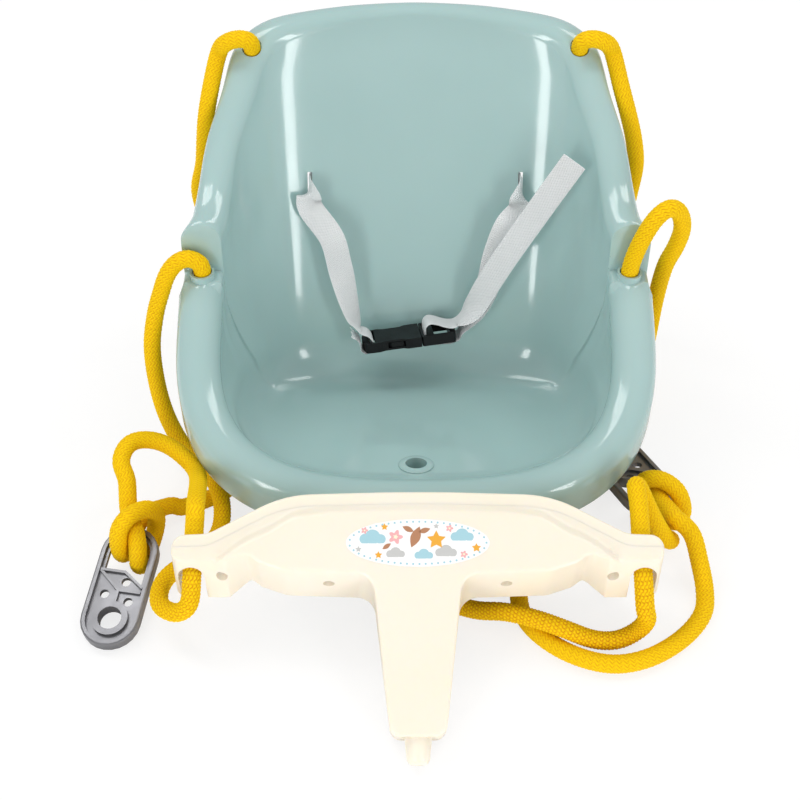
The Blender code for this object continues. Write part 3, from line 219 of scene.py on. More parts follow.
# Buckle: its own X runs towards the tongue, from the joint between its halves
BUCKLE_THICK = 0.0085
SOCKET_LONG = 0.0475
SOCKET_BAR = 0.006
SOCKET_SLOT = 0.0048
TONGUE_LONG = 0.0276
TONGUE_ROOT = 0.0018
TONGUE_SLOT = 0.0032
BUCKLE_MIDDLE = (0.004, 0.059, 0.057)
BUCKLE_TURN = math.radians(7)
BUCKLE_RISE = math.radians(5.5)
# Where webbing bends on edge, its inner edge still gains this much at each step
GATHER = 0.0001

# How finely the seat is made here: steps round the front, over the rim, up the wall and round the
# fillet, the rounded edge of the flange's foot, the distance between columns of points, and how
# far each column takes the mean of its neighbours
FRONT_STEPS = 27
ARC_STEPS = 20
WALL_STEPS = 12
FILLET_STEPS = 8
FOOT_EDGE = 0.0006
LOOP_STEP = 0.0042
ROUNDING = 0.0055

# Braid: rows of stitches round the 13 mm rope, a stitch's length, the depth of its grooves, and
# how many points the mesh gives to each stitch, both ways
BRAID_ROWS = 14
STITCH = 0.00235
GROOVE = 0.0011
STITCH_POINTS = 3

# The line between the bar's two mouldings is too fine to show, and its gap is this
PARTING = 0.00006

# The sticker on the bar: how far in front of the far edge its middle is, its half sizes, the
# thickness of each of its layers and the gap below them, and the dots round its edge
STICKER_AT = -0.0375
STICKER_HALF = (0.0485, 0.0165)
STICKER = 0.00012
STICKER_GAP = 0.00003
DOT = 0.0007
DOT_SPACING = 0.0042

# The strap's frayed end: how many threads, how long and thick they are, and how far the outer ones
# stand in from the selvedges
THREADS = 26
THREAD_LENGTH = 0.0035
THREAD_THICK = 0.00028
THREAD_INSET = 0.0004

# Places on the seat that several pieces share
PAN_CENTRE = Vector((0, (PAN_BACK - PAN_FRONT) / 2, 0))
EAR_Y = LEDGE_FRONT + LEDGE_DEPTH
LEDGE_TOP = ARM_HEIGHT + RIM_HALF
HOLE_Y = LEDGE_FRONT + LEDGE_DEPTH / 2
EAR_TOP = LEDGE_TOP + EAR_RISE - EAR_HALF


def linear(code):
    """Linear colour from an sRGB hex code."""
    values = [int(code[i:i + 2], 16) / 255 for i in (1, 3, 5)]
    return [v / 12.92 if v <= 0.04045 else ((v + 0.055) / 1.055) ** 2.4 for v in values]


def add_node(tree, kind, inputs=None, **settings):
    """Add a node: its settings by name, its inputs by name or number, as values or as links."""
    node = tree.nodes.new(kind)
    for name, value in settings.items():
        setattr(node, name, value)
    for name, value in (inputs or {}).items():
        socket = node.inputs[name]
        if isinstance(value, bpy.types.NodeSocket):
            tree.links.new(value, socket)
        else:
            socket.default_value = value
    return node


def geometry_tree(name, **sizes):
    """A tree of geometry nodes with its own named sizes and a finish, and its inputs."""
    tree = bpy.data.node_groups.new(name, "GeometryNodeTree")
    tree.interface.new_socket("Geometry", in_out="INPUT", socket_type="NodeSocketGeometry")
    tree.interface.new_socket("Geometry", in_out="OUTPUT", socket_type="NodeSocketGeometry")
    for label, value in sizes.items():
        kind = "NodeSocketInt" if isinstance(value, int) else "NodeSocketFloat"
        socket = tree.interface.new_socket(label, in_out="INPUT", socket_type=kind)
        socket.default_value = value
    tree.interface.new_socket("Finish", in_out="INPUT", socket_type="NodeSocketMaterial")
    return tree, tree.nodes.new("NodeGroupInput").outputs


def close_tree(tree, given, geometry):
    """End a tree of geometry nodes: realize its instances and give them the finish."""
    real = add_node(tree, "GeometryNodeRealizeInstances", {"Geometry": geometry})
    done = add_node(tree, "GeometryNodeSetMaterial", {"Geometry": real.outputs[0],
                                                      "Material": given["Finish"]})
    add_node(tree, "NodeGroupOutput", {"Geometry": done.outputs[0]})


def grow(made, tree, **sizes):
    """Make an object's mesh by a tree of geometry nodes, with its inputs by their names."""
    change = made.modifiers.new(tree.name, "NODES")
    change.node_group = tree
    for item in tree.interface.items_tree:
        if item.item_type == "SOCKET" and item.in_out == "INPUT" and item.name in sizes:
            change[item.identifier] = sizes[item.name]
    bake(made)


def calc(tree, operation, first, second=0.0):
    """The result of a sum on two numbers or links."""
    return add_node(tree, "ShaderNodeMath", {0: first, 1: second}, operation=operation).outputs[0]


def named(tree, name):
    """A value that was kept on points under a name."""
    return add_node(tree, "GeometryNodeInputNamedAttribute", {"Name": name},
                    data_type="FLOAT").outputs[0]


def store(tree, geometry, name, value):
    """Keep a value on each point of some geometry, under a name."""
    return add_node(tree, "GeometryNodeStoreNamedAttribute", {
        "Geometry": geometry, "Name": name, "Value": value},
        data_type="FLOAT", domain="POINT").outputs[0]


def from_middle(tree, value):
    """How far a value is from the middle between two whole numbers, 0 there and 1 at them."""
    share = calc(tree, "FRACT", calc(tree, "ADD", value, 0.5))
    return calc(tree, "ABSOLUTE", calc(tree, "SUBTRACT", calc(tree, "MULTIPLY", share, 2), 1))


def own_line(tree, given, **places):
    """The object's own line as a curve, with points by their Length apart or their Count."""
    line = add_node(tree, "GeometryNodeMeshToCurve", {"Mesh": given["Geometry"]})
    return resampled(tree, line.outputs[0], **places)


def resampled(tree, curve, **places):
    """A curve with its points set anew, by their Length apart or their Count."""
    return add_node(tree, "GeometryNodeResampleCurve", {"Curve": curve, **places},
                    mode=list(places)[0].upper()).outputs[0]


def tube_along(tree, curve, section):
    """A closed tube along a curve."""
    return add_node(tree, "GeometryNodeCurveToMesh", {
        "Curve": curve, "Profile Curve": section, "Fill Caps": True}).outputs[0]


def ring(tree, points, radius):
    """A round section of a number of points."""
    return add_node(tree, "GeometryNodeCurvePrimitiveCircle", {
        "Resolution": points, "Radius": radius}).outputs[0]


def moved(tree, geometry, shift):
    """Geometry whose points move by a vector."""
    return add_node(tree, "GeometryNodeSetPosition", {"Geometry": geometry,
                                                      "Offset": shift}).outputs[0]


def scattered(tree, kind, low, high, seed):
    """A number (FLOAT) or three (FLOAT_VECTOR) that lie anywhere between two values or links."""
    node = add_node(tree, "FunctionNodeRandomValue", data_type=kind)
    live = {socket.name: socket for socket in node.inputs if socket.enabled}
    for name, value in (("Min", low), ("Max", high), ("Seed", seed)):
        if isinstance(value, bpy.types.NodeSocket):
            tree.links.new(value, live[name])
        else:
            live[name].default_value = value
    return [socket for socket in node.outputs if socket.enabled][0]


def finish_for(name, colour, **sockets):
    """A material with a Principled shader whose plain sockets are set."""
    made = bpy.data.materials.new(name)
    made.use_nodes = True
    tree = made.node_tree
    shader = tree.nodes["Principled BSDF"]
    shader.inputs["Base Color"].default_value = (*linear(colour), 1)
    for socket, value in sockets.items():
        shader.inputs[socket.replace("_", " ")].default_value = value
    return made, tree, shader


def noise(tree, scale, detail=2.0):
    """Noise by a scale in features per metre."""
    source = add_node(tree, "ShaderNodeTexCoord").outputs["Object"]
    return add_node(tree, "ShaderNodeTexNoise", {"Vector": source, "Scale": scale,
                                                 "Detail": detail}).outputs["Fac"]


def ramp(tree, fac, low, high, start=0.3, end=0.7):
    """A value spread between two limits, as its input goes from start to end."""
    return add_node(tree, "ShaderNodeMapRange", {"Value": fac, "From Min": start, "From Max": end,
                                                 "To Min": low, "To Max": high}).outputs[0]


def two_tones(tree, shader, fac, first, second):
    """Give a shader a colour that lies between two hex codes."""
    mix = add_node(tree, "ShaderNodeMix", {"Factor": fac}, data_type="RGBA")
    for i, code in ((6, first), (7, second)):
        mix.inputs[i].default_value = (*linear(code), 1)
    tree.links.new(mix.outputs[2], shader.inputs["Base Color"])


def bump(tree, shader, height, depth, under=None):
    """Give a shader a bump of a depth in metres, over another bump where one is given."""
    inputs = {"Height": height, "Distance": depth, "Strength": 1.0}
    if under is not None:
        inputs["Normal"] = under
    node = add_node(tree, "ShaderNodeBump", inputs)
    tree.links.new(node.outputs[0], shader.inputs["Normal"])
    return node.outputs[0]


def moulded(name, first, second, rough, grain=0.0, **sockets):
    """Moulded plastic: two close tones in patches of 110 mm, gloss that is uneven over 17 mm, a
    wave of 0.25 mm over 45 mm, and a grain of 0.6 mm whose depth is given in metres."""
    made, tree, shader = finish_for(name, first, **sockets)
    two_tones(tree, shader, ramp(tree, noise(tree, 9), 0, 1), first, second)
    tree.links.new(ramp(tree, noise(tree, 60, 4), *rough), shader.inputs["Roughness"])
    wave = bump(tree, shader, noise(tree, 22), 0.00025)
    if grain:
        bump(tree, shader, noise(tree, 1800, 3), grain, under=wave)
    return made


def new_object(name, mesh):
    """An object of the scene with a mesh."""
    made = bpy.data.objects.new(name, mesh)
    bpy.context.scene.collection.objects.link(made)
    return made


def mesh_from(name, points, faces):
    """A mesh whose faces all point outwards."""
    mesh = bpy.data.meshes.new(name)
    mesh.from_pydata([tuple(p) for p in points], [], faces)
    work = bmesh.new()
    work.from_mesh(mesh)
    bmesh.ops.recalc_face_normals(work, faces=work.faces)
    work.to_mesh(mesh)
    work.free()
    return mesh


def smooth(made, degrees=35.0):
    """Shade an object smooth, with sharp edges past an angle."""
    made.data.shade_smooth()
    made.data.set_sharp_from_angle(angle=math.radians(degrees))


def bake(made):
    """Replace an object's mesh by what its modifiers make of it."""
    depsgraph = bpy.context.evaluated_depsgraph_get()
    mesh = bpy.data.meshes.new_from_object(made.evaluated_get(depsgraph))
    made.modifiers.clear()
    made.data = mesh


def combine(made, tools, operation):
    """Join (UNION) or cut (DIFFERENCE, INTERSECT) an object by a list of tool objects at once."""
    group = bpy.data.collections.new("tools")
    for tool in tools:
        group.objects.link(tool)
    change = made.modifiers.new(operation.lower(), "BOOLEAN")
    change.operation = operation
    change.solver = "EXACT"
    change.operand_type = "COLLECTION"
    change.collection = group
    bake(made)
    for tool in tools:
        bpy.data.objects.remove(tool, do_unlink=True)
    bpy.data.collections.remove(group)


def catmull(points, steps):
    """Points on a smooth curve through a list of points, with equal steps in each span."""
    ends = [points[0] * 2 - points[1]] + list(points) + [points[-1] * 2 - points[-2]]
    curve = []
    for i in range(1, len(ends) - 2):
        p0, p1, p2, p3 = ends[i - 1:i + 3]
        for k in range(steps):
            t = k / steps
            curve.append(0.5 * (2 * p1 + (p2 - p0) * t + (2 * p0 - 5 * p1 + 4 * p2 - p3) * t ** 2
                                + (3 * p1 - p0 - 3 * p2 + p3) * t ** 3))
    curve.append(points[-1].copy())
    return curve


def spaced(points, step):
    """Points at equal distances along a dense curve, about one step apart."""
    lengths = [0.0]
    for a, b in zip(points, points[1:]):
        lengths.append(lengths[-1] + (b - a).length)
    count = max(2, round(lengths[-1] / step))
    found = []
    j = 0
    for i in range(count + 1):
        target = lengths[-1] * i / count
        while j < len(points) - 2 and lengths[j + 1] < target:
            j += 1
        share = (target - lengths[j]) / max(lengths[j + 1] - lengths[j], 1e-9)
        found.append(points[j].lerp(points[j + 1], min(max(share, 0.0), 1.0)))
    return found


def rounded_outline(corners, arc_step=math.radians(5)):
    """A flat outline from (x, y, radius) corners, with an arc of that radius at each corner."""
    outline = []
    count = len(corners)
    for i, (x, y, radius) in enumerate(corners):
        here = Vector((x, y))
        before = Vector(corners[i - 1][:2]) - here
        after = Vector(corners[(i + 1) % count][:2]) - here
        if radius <= 0:
            outline.append(here)
            continue
        half = before.angle(after) / 2
        reach = min(radius / math.tan(half), before.length * 0.49, after.length * 0.49)
        radius = reach * math.tan(half)
        centre = here + (before.normalized() + after.normalized()).normalized() * (
            radius / math.sin(half))
        start = here + before.normalized() * reach - centre
        end = here + after.normalized() * reach - centre
        turn = math.atan2(start.cross(end), start.dot(end))
        steps = max(1, math.ceil(abs(turn) / arc_step))
        for k in range(steps + 1):
            outline.append(centre + Matrix.Rotation(turn * k / steps, 2) @ start)
    return outline


def prism(name, outline, low, high, place=None):
    """A solid from a flat outline, between two heights, placed by a matrix or in the XY plane."""
    place = place or Matrix.Identity(4)
    count = len(outline)
    points = [place @ Vector((p[0], p[1], h)) for h in (low, high) for p in outline]
    faces = [tuple(range(count)), tuple(range(count, 2 * count))]
    for i in range(count):
        j = (i + 1) % count
        faces.append((i, j, count + j, count + i))
    return new_object(name, mesh_from(name, points, faces))


def turned(name, profile, place, sides=48):
    """A turned solid: (radius, height) pairs spun about the Z axis of a matrix."""
    work = bmesh.new()
    corners = [work.verts.new((radius, 0, height)) for radius, height in profile]
    edges = [work.edges.new((a, b)) for a, b in zip(corners, corners[1:])]
    bmesh.ops.spin(work, geom=corners + edges, cent=(0, 0, 0), axis=(0, 0, 1),
                   angle=math.tau, steps=sides, use_merge=True)
    bmesh.ops.remove_doubles(work, verts=work.verts, dist=0.000001)
    bmesh.ops.holes_fill(work, edges=[e for e in work.edges if e.is_boundary], sides=0)
    bmesh.ops.recalc_face_normals(work, faces=work.faces)
    bmesh.ops.transform(work, matrix=place, verts=work.verts)
    mesh = bpy.data.meshes.new(name)
    work.to_mesh(mesh)
    work.free()
    return new_object(name, mesh)


def rod(name, start, end, radius, sides=48):
    """A plain round bar between two points."""
    span = Vector(end) - Vector(start)
    turn = UP.rotation_difference(span).to_matrix().to_4x4() @ Matrix.Rotation(
        math.radians(5), 4, "Z")
    return turned(name, [(0, 0), (radius, 0), (radius, span.length), (0, span.length)],
                  Matrix.Translation(start) @ turn, sides)


def block(name, low, high, place=None):
    """A box between two corners, placed by a matrix."""
    outline = [(low[0], low[1]), (high[0], low[1]), (high[0], high[1]), (low[0], high[1])]
    return prism(name, outline, low[2], high[2], place)


def pan_height(y):
    """Height of the pan's face, which slopes down to the back."""
    return PAN_REAR_HEIGHT + (PAN_BACK - y) * math.tan(PAN_SLOPE)


class Station:
    """One cut through the seat shell, from the pan's edge over the rim to the flange's foot."""

    def __init__(self, centre, half, pan, out, square=2.0, lead_in=0.0, drop=FLANGE_DROP,
                 fillet=PAN_FILLET, step=0.0, belly=0.0):
        self.centre = Vector(centre)
        self.half = half
        self.pan = Vector(pan)
        self.out = Vector(out).normalized()
        self.square = square
        self.lead_in = lead_in
        self.drop = drop
        self.fillet = fillet
        self.step = step
        self.belly = belly

    def mirrored(self):
        """The same cut on the other side of the seat."""
        flip = Vector((-1, 1, 1))
        return Station(self.centre * flip, self.half, self.pan * Vector((-1, 1)),
                       self.out * flip, self.square, self.lead_in, self.drop, self.fillet,
                       self.step, self.belly)

    def rim_point(self, angle, radius):
        """A point of the rolled rim, from its inner side at 0 over its top to its outer side."""
        across = -math.copysign(abs(math.cos(angle)) ** (2 / self.square), math.cos(angle))
        rise = abs(math.sin(angle)) ** (2 / self.square)
        return self.centre + self.out * (across * radius) + UP * (rise * radius)

    def section(self, inset):
        """The cut's points: the visible face at inset 0, the hidden face at inset WALL."""
        radius = self.half - inset
        top = self.rim_point(self.lead_in, radius)
        corner = Vector((*self.pan, pan_height(self.pan.y))) + (self.out - UP) * inset
        inner = corner + (PAN_CENTRE - corner).normalized() * self.fillet
        inner.z = pan_height(inner.y) - inset
        rise = top - corner
        start = corner + rise.normalized() * min(self.fillet, rise.length * 0.6)
        points = [inner.lerp(corner, t).lerp(corner.lerp(start, t), t)
                  for t in (k / FILLET_STEPS for k in range(FILLET_STEPS + 1))]
        points += [start.lerp(top, t) + self.out * (self.belly * 4 * t * (1 - t))
                   for t in (k / WALL_STEPS for k in range(1, WALL_STEPS))]
        points += [self.rim_point(self.lead_in + (math.pi - self.lead_in) * k / ARC_STEPS, radius)
                   for k in range(ARC_STEPS + 1)]
        outer = self.centre + self.out * radius
        points += [outer - UP * (self.drop * t) for t in (0.33, 0.66)]
        soft = -FOOT_EDGE if inset == 0 else FOOT_EDGE
        points += [outer - UP * (self.drop - FOOT_EDGE),
                   outer - UP * (self.drop - FOOT_EDGE * 0.3) + self.out * soft * 0.3,
                   outer - UP * self.drop + self.out * soft]
        shift = Vector((0, self.step * inset, 0))
        return [p + shift for p in points]


def pan_edge(degrees):
    """The sharp edge of the pan, by the angle from the side: -90 is the front, 90 the back."""
    angle = math.radians(degrees)
    reach = PAN_BACK if degrees > 0 else PAN_FRONT
    x = PAN_HALF_WIDTH * abs(math.cos(angle)) ** (2 / PAN_POWER)
    y = math.copysign(reach * abs(math.sin(angle)) ** (2 / PAN_POWER), math.sin(angle))
    return x, y


def arm_height(y):
    """Height of the rim's centre line from the lip up to the ledge."""
    share = (y + RIM_FRONT) / (LEDGE_FRONT + RIM_FRONT)
    return LIP_HEIGHT + (ARM_HEIGHT - LIP_HEIGHT) * share


def front_stations():
    """The lip, the front corner and the armrest as far as the ledge."""
    made = []
    for i in range(FRONT_STEPS + 1):
        angle = math.pi / 2 * i / FRONT_STEPS
        sine = math.sin(angle)
        cosine = max(math.cos(angle), 0.0)
        x = RIM_X * sine ** (2 / RIM_POWER)
        y = -RIM_FRONT * cosine ** (2 / RIM_POWER)
        out = (sine ** (2 - 2 / RIM_POWER) / RIM_X, -cosine ** (2 - 2 / RIM_POWER) / RIM_FRONT, 0)
        made.append(Station((x, y, arm_height(y)), RIM_HALF,
                            pan_edge(i / FRONT_STEPS * 90 - 90), out,
                            lead_in=LIP_LEAD_IN * cosine ** 2,
                            fillet=FRONT_FILLET + (PAN_FILLET - FRONT_FILLET) * sine ** 2,
                            belly=ARM_BELLY * sine ** 2))
    made.append(Station((RIM_X, LEDGE_FRONT * 0.5, arm_height(LEDGE_FRONT * 0.5)), RIM_HALF,
                        pan_edge(3), (1, 0, 0), belly=ARM_BELLY))
    return made


def ledge_stations():
    """The flat ledge with its front edge and the ear wall that rises behind it."""
    low = LEDGE_TOP - LEDGE_HALF
    made = [Station((RIM_X, LEDGE_FRONT, ARM_HEIGHT), RIM_HALF, pan_edge(8), (1, 0, 0),
                    belly=ARM_BELLY)]
    for share, degrees in ((0.15, 11), (0.5, 17), (0.97, 26)):
        y = LEDGE_FRONT + LEDGE_DEPTH * share
        made.append(Station((LEDGE_X, y, low), LEDGE_HALF, pan_edge(degrees), (1, 0, 0),
                            square=LEDGE_SQUARE, step=EAR_STEP if share > 0.9 else 0.0,
                            belly=ARM_BELLY))
    top = low + LEDGE_HALF + EAR_RISE - EAR_HALF
    made.append(Station((EAR_X, EAR_Y + 0.0005, top), EAR_HALF, pan_edge(28.5), (1, 0, 0),
                        drop=FLANGE_DROP + top - low, step=EAR_STEP, belly=EAR_BELLY))
    return made


def back_line():
    """Points along the backrest's rim: centre, half width, the angle on the pan's edge, and
    how far the flange still has to come up from the foot of the ear."""
    rise = BACK_TOP_HEIGHT - EAR_TOP
    run = BACK_TOP_Y - EAR_Y
    # (how far out, share of the run, share of the rise, half width, degrees, hang)
    shares = (
        (BACK_SIDE_X + 0.005, 0.11, 0.05, 0.0135, 34, 0.75),
        (BACK_SIDE_X + 0.003, 0.23, 0.12, 0.0130, 38, 0.3),
        (BACK_SIDE_X - 0.002, 0.43, 0.34, 0.0130, 44, 0.0),
        (BACK_SIDE_X - 0.014, 0.64, 0.58, 0.0140, 50, 0.0),
        (BACK_CORNER_X, 0.80, 0.78, 0.0160, 56, 0.0),
        (BACK_CORNER_X - 0.016, 0.89, 0.87, 0.0150, 62, 0.0),
        (BACK_CORNER_X - 0.050, 0.95, 0.94, 0.0115, 71, 0.0),
        (BACK_CORNER_X - 0.088, 0.985, 0.985, 0.0090, 80, 0.0),
        (0.0, 1.0, 1.0, 0.0080, 90, 0.0),
    )
    return [(Vector((x, EAR_Y + run * back, EAR_TOP + rise * up)), half, degrees, hang)
            for x, back, up, half, degrees, hang in shares]


def back_stations():
    """The rim from behind the ear, up the backrest's side and round to the middle of its top."""
    line = back_line()
    made = []
    for i, (centre, half, degrees, hang) in enumerate(line):
        before = line[i - 1][0] if i > 1 else centre - Vector((0, 1, 0))
        last = i + 1 == len(line)
        after = Vector((-line[i - 1][0].x, before.y, 0)) if last else line[i + 1][0]
        along = after - before
        back_share = (centre.y - EAR_Y) / (BACK_TOP_Y - EAR_Y)
        drop = FLANGE_DROP + (BACK_FLANGE_DROP - FLANGE_DROP) * back_share + hang * EAR_RISE
        made.append(Station(centre, half, pan_edge(degrees), (along.y, -along.x, 0), drop=drop,
                            belly=EAR_BELLY * max(0.0, 1 - back_share * 1.5)))
    return made


def pan_frame(y):
    """A frame on the pan at a distance from the middle, with Z square to the pan."""
    turn = Matrix.Rotation(-PAN_SLOPE, 4, "X")
    return Matrix.Translation((0, y, pan_height(y))) @ turn


def back_slope(x):
    """Foot and top of the backrest's wall at a distance from the middle line."""
    foot_y = PAN_BACK * (1 - (x / PAN_HALF_WIDTH) ** PAN_POWER) ** (1 / PAN_POWER)
    foot = Vector((x, foot_y, pan_height(foot_y)))
    line = back_line()
    for (low, low_half, _, _), (high, high_half, _, _) in zip(line, line[1:]):
        if high.x <= x <= low.x:
            share = (low.x - x) / (low.x - high.x)
            top = low.lerp(high, share)
            half = low_half + (high_half - low_half) * share
            return foot, Vector((x, top.y - half, top.z))
    return foot, foot + UP


def slot_frame(side):
    """A frame in the middle of a belt slot: X across, Y along the slot, Z through the wall."""
    foot, top = back_slope(SLOT_X)
    share = (SLOT_HEIGHT - foot.z) / (top.z - foot.z)
    place = foot.lerp(top, share)
    along = (top - foot).normalized()
    through = Vector((1, 0, 0)).cross(along)
    turn = Matrix((Vector((1, 0, 0)), along, through)).transposed().to_4x4()
    return Matrix.Translation((side * place.x, place.y, place.z)) @ turn


def back_hole():
    """Centre line point and direction of the rope hole in a top corner of the backrest."""
    line = back_line()
    low, high = line[4][0], line[5][0]
    centre = low.lerp(high, BACK_HOLE_SHARE - 0.4)
    return centre, Vector((0, -math.sin(BACK_HOLE_TILT), math.cos(BACK_HOLE_TILT)))


def seat_additions():
    """Solid pieces moulded on the shell: rope collars, the socket's boss and the ribs."""
    reach = ROPE / 2 + ROPE_PLAY + COLLAR_WALL
    made = [rod("collar", (side * LEDGE_X, HOLE_Y, LEDGE_TOP - WALL / 2),
                (side * LEDGE_X, HOLE_Y, LEDGE_TOP + COLLAR_RISE), reach) for side in (-1, 1)]
    made.append(turned("boss", [(0, -SOCKET_TUBE), (SOCKET_BOSS * 0.85, -SOCKET_TUBE),
                                (SOCKET_BOSS * 0.85, -WALL / 2), (SOCKET_BOSS, -WALL / 2),
                                (SOCKET_BOSS, SOCKET_BOSS_RISE * 0.5),
                                (SOCKET_BOSS * 0.88, SOCKET_BOSS_RISE),
                                (0, SOCKET_BOSS_RISE)], pan_frame(SOCKET_Y)))
    made += ribs()
    return made


def ribs():
    """Upright ribs under the pan. Their feet lie on the floor."""
    sink = WALL / 2
    side_view = [(RIB_FRONT, 0), (RIB_REAR, 0), (RIB_REAR, pan_height(RIB_REAR) - sink),
                 (RIB_FRONT, pan_height(RIB_FRONT) - sink)]
    upright = Matrix(((0, 0, 1, 0), (1, 0, 0, 0), (0, 1, 0, 0), (0, 0, 0, 1)))
    made = []
    for x in (-RIB_X, 0.0, RIB_X):
        start = RIB_FRONT if x else SOCKET_Y + SOCKET_BOSS + 0.006
        view = [(max(y, start), z) for y, z in side_view]
        view[3] = (start, pan_height(start) - sink)
        made.append(prism("rib", view, x - RIB_THICK / 2, x + RIB_THICK / 2, upright))
    for y in (RIB_FRONT + 0.020, 0.0, RIB_REAR - 0.004):
        high = pan_height(y + RIB_THICK / 2) - sink
        made.append(block("rib", (-RIB_X - RIB_THICK, y - RIB_THICK / 2, 0),
                          (RIB_X + RIB_THICK, y + RIB_THICK / 2, high)))
    return made


def seat_cuts():
    """The rope holes, the belt slots and the socket's bore."""
    bore = ROPE / 2 + ROPE_PLAY
    plug_bore = PLUG_TIP + SOCKET_PLAY
    centre, way = back_hole()
    made = []
    for side in (-1, 1):
        made.append(rod("hole", (side * LEDGE_X, HOLE_Y, LEDGE_TOP - 4 * WALL),
                        (side * LEDGE_X, HOLE_Y, LEDGE_TOP + 2 * COLLAR_RISE), bore))
        start = Vector((side * centre.x, centre.y, centre.z))
        made.append(rod("hole", start + way * 0.002, start + way * 0.030, bore))
        made.append(block("slot", (-WEBBING_THICK / 2 - SLOT_PLAY, -SLOT_LENGTH / 2, -0.012),
                          (WEBBING_THICK / 2 + SLOT_PLAY, SLOT_LENGTH / 2, 0.012),
                          slot_frame(side)))
    made.append(turned("bore", [(0, -SOCKET_TUBE * 1.2), (plug_bore, -SOCKET_TUBE * 1.2),
                                (plug_bore, 0.01), (0, 0.01)], pan_frame(SOCKET_Y)))
    return made


def far_edge():
    """Corners (x, v, radius) of the right half of the safety bar's far edge."""
    return [(0.0, 0.0, 1.0), (0.0915, 0.002, 0.080),
            (BAR_HALF_WIDTH - LUG_CORNER, LUG_FAR - 0.0005, 0.022),
            (BAR_HALF_WIDTH, LUG_FAR + 0.0005, 0.013)]


def bar_outline():
    """The top of the safety bar seen from above, as (x, v) points."""
    lug = BAR_HALF_WIDTH - LUG_WIDTH
    half = far_edge() + [
        (BAR_HALF_WIDTH, LUG_NEAR, 0.008),
        (lug, LUG_NEAR, 0.011),
        (lug - NOTCH_SIDE, NOTCH_NEAR, 0.010),
        (lug - NOTCH_WIDTH, NOTCH_NEAR + 0.006, 0.010),
        (0.0900, BAR_DEPTH - 0.002, 0.020),
        (LEG_HALF_TOP + 0.001, BAR_DEPTH, 0.014),
        (LEG_HALF_END, LEG_LENGTH, 0.008),
    ]
    return rounded_outline(half + [(-x, v, radius) for x, v, radius in reversed(half[1:])])


def between(places, at):
    """The value at a place, on straight lines through (place, value) pairs."""
    for (low, start), (high, end) in zip(places, places[1:]):
        if at <= high:
            return start + (end - start) * max(at - low, 0.0) / (high - low)
    return places[-1][1]


def draft(x, v):
    """How much further out the bottom of a near face stands than its top."""
    if not LUG_FAR + 0.010 < v < BAR_DEPTH + 0.030:
        return 0.0
    lug = BAR_HALF_WIDTH - LUG_WIDTH
    return between(((lug - NOTCH_SIDE, BAR_DRAFT), (lug, LUG_DRAFT)), abs(x))


def leg_share(v):
    """0 on the bar and at the top of the leg, 1 at the leg's end."""
    return min(max((v - BAR_DEPTH) / (LEG_LENGTH - BAR_DEPTH), 0.0), 1.0)


def bar_thickness(v):
    """Thickness of the bar, which thins towards the leg's end."""
    return BAR_THICK + (LEG_THICK_END - BAR_THICK) * leg_share(v)


def nose_height(tilt, start):
    """Height of the lowest point of the plug when the bar leans at an angle."""
    v = LEG_LENGTH + PLUG_LENGTH
    w = -BAR_THICK / 2 - PLUG_TIP
    return start.z - v * math.sin(tilt) + w * math.cos(tilt)


def bar_lean():
    """The far top edge and the tilt of the bar, resting on the lip and on the floor."""
    lip = Vector((0, -RIM_FRONT, LIP_HEIGHT))
    reach = RIM_HALF + BAR_EDGE + 2 * GAP
    corner = lip + Vector((0, -math.cos(BAR_LEAN), math.sin(BAR_LEAN))) * reach
    low, high = 0.0, math.radians(40)
    start = corner
    for _ in range(40):
        tilt = (low + high) / 2
        v = -BAR_EDGE
        w = BAR_THICK - BAR_EDGE
        start = corner + Vector((0, -v * math.cos(tilt) - w * math.sin(tilt),
                                 -v * math.sin(tilt) + w * math.cos(tilt)))
        if nose_height(tilt, start) > 2 * GAP:
            low = tilt
        else:
            high = tilt
    return start, tilt


def bar_frame():
    """World matrix of the bar's own frame: local (x, -v, w) measured from its far top edge."""
    start, tilt = bar_lean()
    return Matrix.Translation(start) @ Matrix.Rotation(tilt, 4, "X")


def dome_drop(x, v):
    """How far the top lies below the raised middle, by the distance from the step's line."""
    x = abs(x)
    line = between(DOME_LINE, x)
    share = min(max((v - line) / DOME_STEP + 0.5, 0.0), 1.0) if x < DOME_LINE[-1][0] else 0.0
    deep = DOME_DROP + (DOME_DROP_LUG - DOME_DROP) * min(x / DOME_LINE[-1][0], 1.0)
    return deep * (1 - share * share * (3 - 2 * share))


def cut_grid(mesh):
    """Cut the bar's faces into strips, so that its top can be shaped."""
    work = bmesh.new()
    work.from_mesh(mesh)
    places = [(Vector((x * DOME_GRID, 0, 0)), Vector((1, 0, 0)))
              for x in range(-math.floor(BAR_HALF_WIDTH / DOME_GRID),
                             math.floor(BAR_HALF_WIDTH / DOME_GRID) + 1)]
    places += [(Vector((0, -v * DOME_GRID / 2, 0)), Vector((0, 1, 0)))
               for v in range(1, math.ceil(2 * BAR_DEPTH / DOME_GRID))]
    for place, way in places:
        faces = [face for face in work.faces if face.normal.z > 0.3]
        edges = {edge for face in faces for edge in face.edges}
        verts = {vert for face in faces for vert in face.verts}
        bmesh.ops.bisect_plane(work, geom=faces + list(edges) + list(verts), dist=0.00002,
                               plane_co=place, plane_no=way)
    bmesh.ops.triangulate(work, faces=[face for face in work.faces if face.normal.z > 0.3])
    work.to_mesh(mesh)
    work.free()


